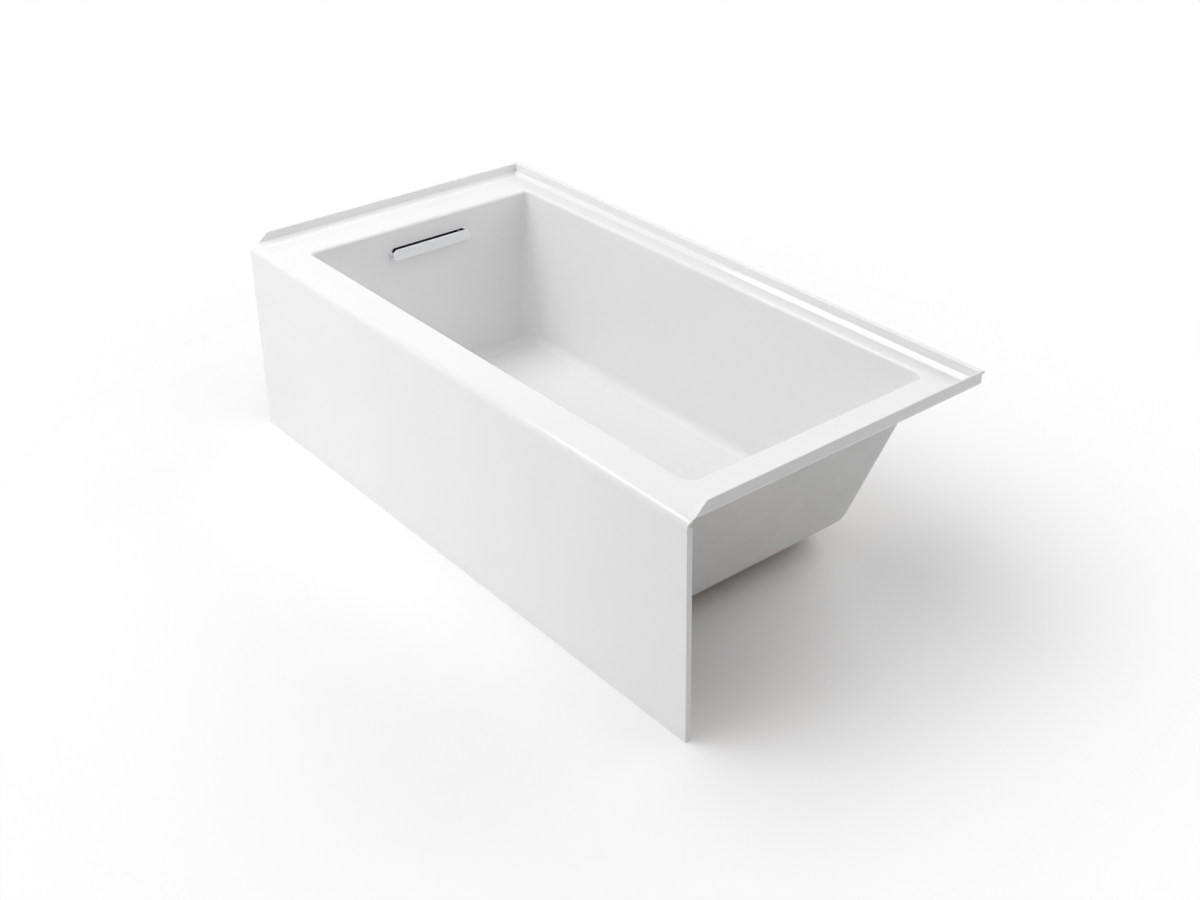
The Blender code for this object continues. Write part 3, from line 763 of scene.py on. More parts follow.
@dataclass(frozen=True)
class TubForm:
    """Driving sizes of the tub, and the levels of its basin."""

    deck_z: float = 0.460
    sheet: float = 0.005
    gap: float = 0.0003
    rim_radius: float = 0.008
    rim: Walls = Walls(-0.642, 0.666, -0.291, 0.317)
    floor: Walls = Walls(-0.622, 0.511, -0.263, 0.301)
    rim_corners: Point = (0.012, 0.025)
    floor_corners: Point = (0.040, 0.055)
    floor_z: float = 0.058
    floor_rise: float = 0.010
    fillet: float = 0.025
    backing: float = 0.003
    backing_top: float = 0.440
    waste: Point = (-0.492, 0.024)
    overflow_z: float = 0.398
    corner_steps: int = 14
    least_corner: float = 0.002

    @property
    def rim_z(self) -> float:
        """Level where the rim's rounding starts."""
        return self.deck_z - self.rim_radius

    @property
    def wall_angle(self) -> float:
        """Lean of the left end wall, in radians."""
        return math.atan((self.floor.left - self.rim.left) / (self.rim_z - self.floor_z))

    @property
    def overflow_spot(self) -> Place:
        """Centre of the overflow on the end wall's inner face."""
        return (self.wall_x(self.overflow_z), self.waste[1], self.overflow_z)

    def floor_at(self, x: float, grow: float = 0.0) -> float:
        """Height of the basin's floor, which falls towards the waste."""
        share = (x - self.floor.left) / (self.floor.right - self.floor.left)
        return self.floor_z + self.floor_rise * share - grow

    def depth_share(self, z: float) -> float:
        """How far down the walls a level is: 0 at the rim and 1 at the floor."""
        return min(max((self.rim_z - z) / (self.rim_z - self.floor_z), 0.0), 1.0)

    def wall_x(self, z: float, grow: float = 0.0) -> float:
        """Place of the left end wall at a level."""
        return self.rim.towards(self.floor, self.depth_share(z)).left - grow

    def ring(self, z: float, grow: float, inset: float = 0.0, side_steps: int = 1) -> list[Place]:
        """One level of the basin, a rectangle with round corners that leans with the floor.

        Args:
            z: The level, as at the left end of the floor.
            grow: Thickness grown out from the basin's inner face.
            inset: Distance drawn in from the walls.
            side_steps: Pieces that each straight side is divided into.

        Returns:
            The ring's points.
        """
        share = self.depth_share(z)
        walls = self.rim.towards(self.floor, share)
        out = grow - inset
        bends = zip(self.rim_corners, self.floor_corners)
        at_left, at_right = (max(a + (b - a) * share + out, self.least_corner) for a, b in bends)
        low, high = (walls.left - out, walls.front - out), (walls.right + out, walls.back + out)
        outline: Outline = []
        for bend in corner_arcs(low, high, at_left, at_right, self.corner_steps):
            if outline:
                outline += between(outline[-1], bend[0], side_steps)
            outline += bend
        outline += between(outline[-1], outline[0], side_steps)
        lean = self.floor_rise * share / (self.floor.right - self.floor.left)
        return [(x, y, z + lean * (x - self.floor.left)) for x, y in outline]

    def fillet_points(self, grow: float, steps: int) -> list[Point]:
        """Full round fillet of a face outside the basin's inner face.

        Args:
            grow: Thickness grown out from the inner face.
            steps: Number of chords.

        Returns:
            (inset, rise) points, from the floor to the wall.
        """
        radius = self.fillet + grow
        turns = [math.radians(90 * k / steps) for k in range(steps, -1, -1)]
        return [(radius * (1 - math.cos(a)), radius * (1 - math.sin(a))) for a in turns]

    def creased_fillet(self, crease: float = 36.0, tight: float = 0.003) -> list[Point]:
        """Fillet of the basin's inner face, whose foot meets the floor in a tight hollow.

        Args:
            crease: Slope in degrees at which the wide round stops.
            tight: Radius of the hollow.

        Returns:
            (inset, rise) points, from the floor to the wall.
        """
        stop = 90.0 - crease
        wide = [math.radians(stop * k / 14) for k in range(14, -1, -1)]
        round_part = [
            (self.fillet * (1 - math.cos(a)), self.fillet * (1 - math.sin(a))) for a in wide
        ]
        inset, rise = round_part[0]
        slope = math.radians(crease)
        hollow_rise = tight * (1 - math.cos(slope))
        foot = inset + (rise - hollow_rise) / math.tan(slope) + tight * math.sin(slope)
        hollow = [
            (foot - tight * math.sin(slope * k / 5), tight * (1 - math.cos(slope * k / 5)))
            for k in range(6)
        ]
        return hollow + round_part

    def levels(
        self, grow: float, top: float, fillet: Sequence[Point], walls: int = 1, side_steps: int = 1
    ) -> list[list[Place]]:
        """Rings from the floor up to a height, without the rim's rounding.

        Args:
            grow: Thickness grown out from the inner face.
            top: Height of the last ring.
            fillet: (inset, rise) points of the fillet.
            walls: Rings above the fillet.
            side_steps: Pieces that each straight side is divided into.

        Returns:
            The rings.
        """
        low = self.floor_z - grow
        rings = [self.ring(low + rise, grow, inset, side_steps) for inset, rise in fillet]
        start = low + fillet[-1][1]
        for k in range(1, walls + 1):
            rings.append(self.ring(start + (top - start) * k / walls, grow, 0.0, side_steps))
        return rings


def between(start: Point, end: Point, steps: int) -> Outline:
    """Points that divide a straight run, without its ends."""
    (x0, y0), (x1, y1) = start, end
    return [(x0 + (x1 - x0) * k / steps, y0 + (y1 - y0) * k / steps) for k in range(1, steps)]


FORM = TubForm()


def on_wall(mesh: Mesh) -> Mesh:
    """Move a mesh to the overflow's place on the end wall.

    Args:
        mesh: The mesh, which stands off the plane x = 0.

    Returns:
        The same mesh.
    """
    turn = Matrix.Rotation(-FORM.wall_angle, 4, "Y")
    mesh.transform(Matrix.Translation(FORM.overflow_spot) @ turn)
    return mesh


def moved(mesh: Mesh, place: Place) -> Mesh:
    """Move a mesh to a place."""
    mesh.transform(Matrix.Translation(place))
    return mesh


def overflow_slot_cutter() -> Mesh:
    """The overflow's slot through the end wall."""
    return on_wall(prism("slot", slot_outline(0.1040, 0.0065), Axis.X, -0.030, 0.020))


def drain_cutter() -> Mesh:
    """The drain's hole through the floor."""
    return moved(turned(rod(0.0240, 0.02, 0.10)), (*FORM.waste, 0.0))


# The moulded tub


@dataclass
class TubShell:
    """The tub: one gloss sheet from the apron's foot to the tops of the tile flanges."""

    form: TubForm = FORM
    apron_bend: float = 0.012
    apron_return: float = 0.0125
    lip_reach: float = 0.008
    lip_height: float = 0.0066
    cove_width: float = 0.012
    cove_height: float = 0.0078
    cove_slopes: Point = (26.0, 40.0)
    cove_steps: int = 8
    heel: float = 0.012
    top_edge: float = 0.0016
    flange_foot: float = 0.013
    flange_top: float = 0.045
    edge: float = 0.0009

    def __post_init__(self) -> None:
        """Read the tub's outside from the CAD node."""
        low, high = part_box("bath_shell")
        self.end_x, self.front_y, self.back_y, self.height = high.x, low.y, high.y, high.z
        self.skirt_y = self.back_y - self.lip_reach
        self.under_z = self.form.deck_z - self.form.sheet

    def cove(self) -> Outline:
        """Hollow strip at a flange's foot.

        Returns:
            (distance in, height) points, from the deck to the crease.
        """
        first, last = (math.radians(slope) for slope in self.cove_slopes)
        radius = self.cove_width / (math.sin(last) - math.sin(first))
        turns = [first + (last - first) * k / self.cove_steps for k in range(self.cove_steps + 1)]
        lift = self.cove_height / (math.cos(first) - math.cos(last))
        return [
            (
                self.cove_width - radius * (math.sin(a) - math.sin(first)),
                lift * (math.cos(first) - math.cos(a)),
            )
            for a in turns
        ]

    def flange_side(self, inner: float) -> Outline:
        """Inner side of a flange: its cove, its face and its rounded top.

        Args:
            inner: Place of its face.

        Returns:
            (place, height) points, from the deck up.
        """
        deck, top, edge = self.form.deck_z, self.height, self.top_edge
        side = [(inner - run, deck + rise) for run, rise in self.cove()]
        return side + arc((inner + edge, top - edge), edge, 180, 90, 5)

    def section(self) -> Outline:
        """Section across the bath: apron, deck, back flange and lip.

        Returns:
            The closed outline, as (y, z) points.
        """
        form, front, bend, tip, hollow = self.form, self.front_y, self.apron_bend, 0.0030, 0.0015
        centre = (front + bend, form.deck_z - bend)
        heel = (self.skirt_y - self.heel, self.under_z + self.heel)
        lip_low = self.height - self.lip_height
        inside = front + self.apron_return
        outline = [(front, 0.0)] + arc(centre, bend, 180, 90, 14)
        outline += self.flange_side(self.skirt_y - form.sheet)
        outline += arc((self.back_y - tip, self.height - tip), tip, 90, 0, 6)
        outline += arc((self.back_y - tip, lip_low + tip), tip, 0, -90, 6)
        outline += arc((self.skirt_y + hollow, lip_low - hollow), hollow, 90, 180, 4)
        outline += arc(heel, self.heel, 0, -90, 12)
        outline += arc(centre, bend - form.sheet, 90, 180, 8)
        return outline + [(front + form.sheet, form.sheet), (inside, form.sheet), (inside, 0.0)]

    def end_flange(self, side: int) -> Mesh:
        """One end's flange with its cove and its slanted front end.

        Args:
            side: -1 for the left end and 1 for the right.

        Returns:
            The flange's solid, let into the deck's sheet.
        """
        deck, sunk, edge = self.form.deck_z, 0.003, self.top_edge
        inner = self.end_x - self.form.sheet
        outline = self.flange_side(inner)
        outline += arc((self.end_x - edge, self.height - edge), edge, 90, 0, 5)
        outline += [(self.end_x, deck - sunk), (inner - self.cove_width, deck - sunk)]
        section = [(side * x, z) for x, z in outline]
        foot, top = self.front_y + self.flange_foot, self.front_y + self.flange_top
        flange = Workpiece("flange", prism("flange", section, Axis.Y, foot, self.skirt_y - 0.001))
        over = 0.010
        slant = (top - foot) / (self.height - deck)
        wedge = [
            (foot - 0.05, deck),
            (foot, deck),
            (top + over * slant, self.height + over),
            (foot - 0.05, self.height + over),
        ]
        flange.cut(prism("wedge", wedge, Axis.X, -1.0, 1.0))
        flange.ease(self.edge)
        return flange.take()

    def heel_cutter(self, side: int) -> Mesh:
        """Corner to round off under an end flange, behind the apron.

        Args:
            side: -1 for the left end and 1 for the right.

        Returns:
            The cutter's solid.
        """
        x, under, heel, over = self.end_x, self.under_z, self.heel, 0.002
        outline = [(x - heel, under - over), (x + over, under - over), (x + over, under + heel)]
        outline += arc((x - heel, under + heel), heel, 0, -90, 12)
        section = [(side * u, v) for u, v in outline]
        start = self.front_y + self.apron_return + 0.001
        return prism("heel", section, Axis.Y, start, self.back_y + 0.01)

    def basin_space(self) -> Mesh:
        """The space inside the basin, with the rim's rounding and a head above the deck.

        Returns:
            Its solid.
        """
        form, steps = self.form, 12
        rings = form.levels(0.0, form.rim_z, form.creased_fillet(), walls=10)
        for k in range(1, steps):
            angle = math.radians(90 * k / steps)
            height = form.rim_z + form.rim_radius * math.sin(angle)
            rings.append(form.ring(height, form.rim_radius * (1 - math.cos(angle))))
        for height in (form.deck_z + 0.00001, self.height + 0.02):
            rings.append(form.ring(height, form.rim_radius))
        return loft("basin_space", rings)

    def build(self) -> None:
        """Mould the tub and dress it."""
        form, sheet = self.form, self.form.sheet
        section = prism("tub", self.section(), Axis.X, -self.end_x, self.end_x)
        shell = Workpiece("tub_shell", section).ease(self.edge, angle=50.0)
        for side in (-1, 1):
            shell.join(self.end_flange(side))
            start, end = sorted((side * self.end_x, side * (self.end_x - sheet)))
            low = (start, self.front_y + sheet / 2, sheet / 2)
            high = (end, self.front_y + self.apron_return, form.deck_z - self.apron_bend)
            shell.join(Workpiece("fold", block("fold", low, high)).ease(self.edge).take())
            shell.cut(self.heel_cutter(side))
        outside = form.levels(sheet, form.deck_z - sheet / 2, form.fillet_points(sheet, 10), 8)
        shell.join(loft("outside", outside)).cut(self.basin_space())
        shell.cut(overflow_slot_cutter()).cut(drain_cutter())
        shell.finish(ACRYLIC, "bath_shell")


@dataclass
class ResinBacking:
    """Glass fibre sprayed on the basin's outside, lumpy and feathered out near the deck."""

    form: TubForm = FORM
    lump: float = 0.0005
    lump_scale: float = 22.0
    feather: float = 0.030
    feather_depth: float = 0.0025
    half_size: Point = (0.55, 0.28)
    side_steps: int = 40
    wall_rings: int = 30

    def face(self, grow: float) -> list[list[Place]]:
        """Smooth rings of one face of the coat, grown out from the basin's inner face."""
        form, fillet = self.form, self.form.fillet_points(grow, 8)
        return form.levels(grow, form.backing_top, fillet, self.wall_rings, self.side_steps)

    def sprayed(self, point: Place) -> Place:
        """Draw a point of the outer face in by the coat's lumps and its thin upper edge.

        Args:
            point: The point on the smooth face.

        Returns:
            The point on the sprayed face.
        """
        here = Vector(point)
        thin = max(0.0, 1 - (self.form.backing_top - here.z) / self.feather) * self.feather_depth
        dent = self.lump * (0.5 + 0.5 * noise.noise(here * self.lump_scale)) + thin
        across = (self.form.floor.left + self.form.floor.right) / 2 - here.x
        if abs(across) / self.half_size[0] > abs(here.y) / self.half_size[1]:
            step = Vector((math.copysign(1, across), 0, 0))
        else:
            step = Vector((0, math.copysign(1, -here.y), 0))
        return tuple(here + step * dent)

    def build(self) -> None:
        """Spray the backing and dress it."""
        grow = self.form.sheet + self.form.gap
        outer = [[self.sprayed(p) for p in ring] for ring in self.face(grow + self.form.backing)]
        skin = Workpiece("backing_coat", loft("coat", outer + self.face(grow)[::-1]))
        skin.cut(overflow_slot_cutter()).cut(drain_cutter())
        skin.finish(RESIN, "basin_backing")


# Support and framing


def round_size(node: str) -> Place:
    """Outer radius, foot and top of a CAD node that stands upright and is round."""
    low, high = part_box(node)
    return ((high.x - low.x) / 2, low.z, high.z)


def dress(node: str, finish: Finish, edge: float, segments: int = 3) -> None:
    """Give a CAD node that keeps its shape a finish and eased edges.

    Args:
        node: The CAD node.
        finish: Its finish.
        edge: Width of the rounding on its edges.
        segments: Strips in each rounding.
    """
    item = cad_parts[node]
    item.data.materials.clear()
    item.data.materials.append(material_of(finish))
    item.data.shade_smooth()
    item.data.set_sharp_from_angle(angle=SHARP_ANGLE)
    rounding = item.modifiers.new("eased_edges", "BEVEL")
    rounding.width = edge
    rounding.segments = segments
    rounding.limit_method = "ANGLE"
    rounding.angle_limit = math.radians(40)
    rounding.harden_normals = True
    LOG.info("%s dressed", node)


@dataclass
class Support:
    """Foam bed under the basin's floor and the board that carries it."""

    form: TubForm = FORM
    bulge: float = 0.0022
    lump_scale: float = 35.0
    corner: float = 0.012
    step: float = 0.012
    levels: int = 5
    notch_half_width: float = 0.045
    notch_end_x: float = -0.425

    def bed(self) -> Mesh:
        """Foam bed with sides that set unevenly, drawn in by a hair all round.

        Returns:
            The bed without its notch.
        """
        low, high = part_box("foam_bed")
        skin = self.form.sheet + 2 * self.form.gap + self.form.backing
        plan = [(high.x, low.y), (high.x, high.y), (low.x, high.y), (low.x, low.y)]
        sides = eased(plan, self.corner)
        outline: Outline = []
        for start, end in zip(sides, sides[1:] + sides[:1]):
            steps = max(1, round(math.dist(start, end) / self.step))
            outline += [start] + between(start, end, steps)
        rings = []
        for level in range(self.levels + 1):
            share = level / self.levels
            swell = 1 - (2 * share - 1) ** 2
            ring = []
            for x, y in outline:
                z = low.z + (self.form.floor_at(x, skin) - low.z) * share
                lump = 0.6 + 0.4 * noise.noise(Vector((x, y, z)) * self.lump_scale)
                draw = self.bulge * (1 - 0.6 * swell) * lump
                draw_x = math.copysign(draw, x - (low.x + high.x) / 2)
                draw_y = math.copysign(draw, y - (low.y + high.y) / 2)
                ring.append((x - draw_x, y - draw_y, z))
            rings.append(ring)
        return loft("bed", rings)

    def build(self) -> None:
        """Pour the bed and dress the board."""
        low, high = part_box("foam_bed")
        waste_y = self.form.waste[1]
        notch = block(
            "notch",
            (low.x - 0.01, waste_y - self.notch_half_width, low.z - 0.01),
            (self.notch_end_x, waste_y + self.notch_half_width, high.z + 0.01),
        )
        Workpiece("foam_bed_pour", self.bed()).cut(notch).finish(FOAM, "foam_bed")
        dress("base_board", BOARD, 0.0012)


@dataclass
class LevellingFoot:
    """One foot: a ribbed socket under the board and a pad that screws down out of it."""

    end: str
    side: str
    ribs: int = 16
    rib_depth: float = 0.0011
    flutes: int = 24
    plug: float = 0.0265

    def socket(self, node: str, place: Place) -> None:
        """Build the socket.

        Args:
            node: Its CAD node.
            place: Foot of its axis.
        """
        radius, low, high = round_size(node)
        profile = [
            (0.0, high), (radius, high), (radius, high - 0.0035), (radius - 0.0025, high - 0.0050),
            (radius - 0.0035, low), (0.0275, low), (0.0275, 0.0262), (0.0, 0.0262),
        ]
        mesh = turned(profile, 0.0008)
        for vert in mesh.vertices:
            reach = math.hypot(vert.co.x, vert.co.y)
            if vert.co.z < high - 0.0045 and reach > 0.029:
                wave = 0.5 + 0.5 * math.cos(self.ribs * math.atan2(vert.co.y, vert.co.x))
                share = 1 - self.rib_depth * (1 - wave**6) / reach
                vert.co.x, vert.co.y = vert.co.x * share, vert.co.y * share
        Workpiece(node + "_moulding", moved(mesh, place)).finish(DARK, node)

    def pad(self, node: str, place: Place) -> None:
        """Build the pad, with a tread groove and grip flutes round its flange.

        Args:
            node: Its CAD node.
            place: Foot of its axis.
        """
        radius, foot, top = round_size(node)
        plug = self.plug
        profile = [
            (0.0, top - 0.0020), (plug - 0.0040, top - 0.0020), (plug - 0.0030, top), (plug, top),
            (plug, 0.0110), (plug - 0.0006, 0.0100), (plug - 0.0006, 0.0072), (plug, 0.0065),
            (radius, 0.0055), (radius, 0.0), (0.0210, 0.0), (0.0205, 0.0012), (0.0165, 0.0012),
            (0.0160, 0.0), (0.0, 0.0),
        ]
        mesh = turned(profile, 0.0006)
        flute(mesh, self.flutes, 0.0008, radius - 0.0015)
        piece = Workpiece(node + "_moulding", moved(mesh, place))
        piece.finish(RUBBER, node, body=f"pad_{self.end}_{self.side}")

    def build(self) -> None:
        """Build both pieces where the CAD has them."""
        socket, pad = (f"foot_{part}_{self.end}_{self.side}" for part in ("socket", "pad"))
        low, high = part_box(socket)
        place = ((low.x + high.x) / 2, (low.y + high.y) / 2, 0.0)
        self.socket(socket, place)
        self.pad(pad, place)


@dataclass
class Framing:
    """Timber, board and ties that stiffen the deck and the apron."""

    rails: tuple[str, ...] = ("front_rim_rail", "back_rim_rail", "apron_sole_rail")
    studs: tuple[str, ...] = ("left", "middle", "right")
    ties: tuple[str, ...] = ("left", "right")

    def build(self) -> None:
        """Dress every rail, stud, board and tie."""
        for name in self.rails:
            dress(name, TIMBER, 0.0025, 4)
        for place in self.studs:
            dress(f"apron_stud_{place}", STUD_TIMBER, 0.0025, 4)
        dress("apron_board", BOARD, 0.0010)
        for place in self.ties:
            dress(f"apron_tie_{place}", STEEL, 0.0004)


# Overflow


class LongShape(NamedTuple):
    """Outline of the overflow's long pieces: round lower corners and slanted upper ones."""

    half: float
    low: float
    high: float
    corner: float
    upper_ease: float = 0.0020

    def outline(self) -> Outline:
        """Points of the outline.

        Returns:
            The closed outline, as (y, z) points.
        """
        half, low, high, corner = self.half, self.low, self.high, self.corner
        upper = [
            (half, low + corner), (half, high - corner), (half - corner, high),
            (corner - half, high), (-half, high - corner), (-half, low + corner),
        ]
        result = arc((corner - half, low + corner), corner, 180, 270, 12)
        result += arc((half - corner, low + corner), corner, 270, 360, 12)
        return result + eased(upper, self.upper_ease, closed=False)[1:-1]


@dataclass
class OverflowFace:
    """Slotted overflow on the end wall: back plate, bar cover, screws, gasket and housing."""

    bar: LongShape = LongShape(0.1095, -0.0150, 0.0120, 0.0090)
    hollow: LongShape = LongShape(0.1070, -0.0125, 0.0098, 0.0078)
    face: LongShape = LongShape(0.1115, -0.0165, 0.0162, 0.0105)
    recess: LongShape = LongShape(0.1075, -0.0125, 0.0140, 0.0092)
    bar_front: float = 0.0140
    hollow_front: float = 0.0115
    face_back: float = 0.0003
    face_front: float = 0.0028
    recess_depth: float = 0.0012
    mouth: tuple[Point, ...] = (
        (-0.1068, 0.0042), (0.1068, 0.0042), (0.1068, 0.0300), (-0.1068, 0.0300)
    )
    mouth_front: float = 0.0100
    slot: Point = (0.0840, 0.0055)
    screw_place: float = 0.096

    def cover(self) -> None:
        """Build the polished bar that hides the slot, open along its top."""
        back = self.face_front + FORM.gap
        solid = prism("bar", self.bar.outline(), Axis.X, back, self.bar_front)
        bar = Workpiece("overflow_cover_bar", solid).ease(0.0011, 4)
        bar.cut(prism("hollow", self.hollow.outline(), Axis.X, -0.010, self.hollow_front))
        bar.cut(prism("mouth", self.mouth, Axis.X, -0.010, self.mouth_front))
        on_wall(bar.item.data)
        bar.finish(CHROME, "overflow_cover")

    def plate(self) -> None:
        """Build the plate: chrome at its rim, with shade painted dark into the recess behind the
        bar.
        """
        solid = prism("plate", self.face.outline(), Axis.X, self.face_back, self.face_front)
        plate = Workpiece("overflow_plate_face", solid).ease(0.0007, 3)
        floor = self.face_front - self.recess_depth
        plate.cut(prism("recess", self.recess.outline(), Axis.X, floor, 0.02))
        plate.cut(prism("slot", slot_outline(*self.slot), Axis.X, -0.01, 0.02))
        for side in (-1, 1):
            hole = turned(rod(0.0025, -0.01, 0.01), axis=Axis.X, steps=32)
            plate.cut(moved(hole, (0.0, side * self.screw_place, 0.0)))
        # Faces deep in the recess behind the bar take the dark finish: painted shade standing in
        # for the shadow inside the slot.
        for face in plate.item.data.polygons:
            x, y, z = face.center
            in_shaded_recess = self.face_back + 0.0001 < x < floor + 0.00005
            face.material_index = int(in_shaded_recess and abs(y) < 0.109 and abs(z) < 0.0145)
        on_wall(plate.item.data)
        plate.finish(CHROME, "overflow_plate", inside=DARK)

    def screws(self) -> None:
        """Build the two cross-recess screws behind the bar."""
        head = self.face_front + FORM.gap
        profile = [
            (0.0, head + 0.0025), (0.0024, head + 0.0023), (0.0042, head + 0.0014),
            (0.0045, head + 0.0002), (0.0044, head), (0.0022, head), (0.0022, -0.0250),
            (0.0012, -0.0260), (0.0, -0.0260),
        ]
        for side, node in ((-1, "overflow_screw_front"), (1, "overflow_screw_back")):
            screw = Workpiece(node + "_turned", turned(profile, axis=Axis.X, steps=40))
            for y, z in ((0.0004, 0.0022), (0.0022, 0.0004)):
                screw.cut(block("cross", (head + 0.0008, -y, -z), (head + 0.01, y, z)))
            on_wall(moved(screw.item.data, (0.0, side * self.screw_place, 0.0)))
            screw.finish(STEEL, node)

    def build(self) -> None:
        """Build the face and dress the gasket and the housing."""
        self.cover()
        self.plate()
        self.screws()
        dress("overflow_gasket", RUBBER, 0.0006)
        dress("overflow_housing", PIPE, 0.0011, 4)


# Waste pipes


class Line(NamedTuple):
    """Axis that round pieces are turned about."""

    start: Place
    axis: Axis

    def turned(
        self, profile: Sequence[Point], edge: float = 0.0, steps: int = ROUND_STEPS
    ) -> Mesh:
        """Solid of a profile turned about this line."""
        return moved(turned(profile, edge, self.axis, steps), self.start)

    def drill(self, piece: Workpiece, radius: float, start: float, end: float) -> None:
        """Drill a piece along this line."""
        piece.cut(self.turned(rod(radius, start, end)))


@dataclass
class WastePipes:
    """Riser, tee, arm and shoe, with ribbed slip nuts and soft washers."""

    form: TubForm = FORM
    riser_x: float = -0.705
    riser_top: float = 0.350
    arm_z: float = 0.0245
    pipe: float = 0.01905
    bore: float = 0.0160
    hub: float = 0.0215
    nut: float = 0.0240

    def __post_init__(self) -> None:
        """Find the axes of the pipes and the size of the sockets they stand in."""
        self.riser = Line((self.riser_x, self.form.waste[1], 0.0), Axis.Z)
        self.arm = Line((self.riser_x, self.form.waste[1], self.arm_z), Axis.X)
        self.outlet = Line((*self.form.waste, 0.0), Axis.Z)
        self.inlet = Line((*self.form.waste, self.arm_z), Axis.X)
        self.socket = self.pipe + self.form.gap

    def tube(self, node: str, low: float, high: float, line: Line) -> None:
        """Build a plain pipe with chamfered ends in place of a CAD node."""
        mesh = line.turned(collar(self.pipe, self.bore, low, high), 0.0008)
        Workpiece(node + "_pipe", mesh).finish(PIPE, node)

    def slip_joint(self, name: str, face: float, direction: int, line: Line) -> None:
        """Build one joint's nut, which grips by its flutes, and its washer.

        Args:
            name: The joint's name.
            face: Where the hub ends on the line.
            direction: Which way the hub's mouth faces.
            line: The pipe's axis.
        """
        grip = self.hub + self.form.gap
        section = [
            (self.nut - 0.0008, -0.0120), (self.nut - 0.0008, -0.0095), (self.nut, -0.0088),
            (self.nut, 0.0030), (self.nut - 0.0010, 0.0045), (self.socket, 0.0045),
            (self.socket, 0.0025), (grip, 0.0025), (grip, -0.0120),
        ]
        mesh = turned([(r, face + direction * run) for r, run in section], 0.0005, line.axis, 192)
        flute(mesh, 16, 0.0009, self.nut - 0.0011, line.axis)
        Workpiece(f"{name}_nut_moulding", moved(mesh, line.start)).finish(NUT, f"{name}_nut")
        near, far = face + direction * self.form.gap, face + direction * 0.0022
        washer = line.turned(collar(self.hub, self.socket, near, far), 0.0004)
        Workpiece(f"{name}_washer_ring", washer).finish(RUBBER, f"{name}_washer")

    def tee(self) -> None:
        """Build the tee, with a socket at two of its mouths."""
        low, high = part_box("waste_tee")
        body = self.riser.turned(rod(self.hub, low.z, high.z), 0.001)
        tee = Workpiece("waste_tee_moulding", body)
        tee.join(self.arm.turned(rod(self.hub, 0.0, high.x - self.riser_x), 0.001))
        self.riser.drill(tee, self.bore, -0.01, 0.1)
        self.riser.drill(tee, self.socket, 0.0710, 0.1)
        self.arm.drill(tee, self.bore, 0.0, 0.06)
        self.arm.drill(tee, self.socket, 0.024, 0.06)
        tee.finish(PIPE, "waste_tee")

    def shoe(self) -> None:
        """Build the waste shoe and its gasket under the basin."""
        low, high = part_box("waste_shoe")
        top, foot, flange, body = high.z, low.z, 0.0340, 0.0285
        profile = [
            (0.0, top), (flange, top), (flange, top - 0.0025), (body, top - 0.004),
            (body, foot + 0.003), (body - 0.003, foot), (0.0, foot),
        ]
        shoe = Workpiece("waste_shoe_moulding", self.outlet.turned(profile, 0.0008))
        shoe.join(self.inlet.turned(rod(0.0222, -0.050, 0.0), 0.001))
        self.outlet.drill(shoe, 0.0229, 0.0065, 0.1)
        self.inlet.drill(shoe, self.bore, -0.06, 0.0)
        self.inlet.drill(shoe, self.socket, -0.06, -0.0335)
        shoe.finish(PIPE, "waste_shoe")
        _, foot, top = round_size("shoe_gasket")
        ring = self.outlet.turned(collar(0.033, 0.0235, foot, top), 0.0007)
        Workpiece("shoe_gasket_ring", ring).finish(RUBBER, "shoe_gasket")

    def build(self) -> None:
        """Build every pipe and joint."""
        low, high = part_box("overflow_riser")
        self.tube("overflow_riser", low.z, high.z, self.riser)
        low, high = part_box("waste_arm")
        self.tube("waste_arm", low.x - self.riser_x, high.x - self.riser_x, self.arm)
        self.tee()
        self.shoe()
        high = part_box("waste_tee")[1]
        self.slip_joint("riser_top", self.riser_top, -1, self.riser)
        self.slip_joint("riser_foot", high.z, 1, self.riser)
        self.slip_joint("arm", high.x - self.riser_x, 1, self.arm)


# Drain and stopper


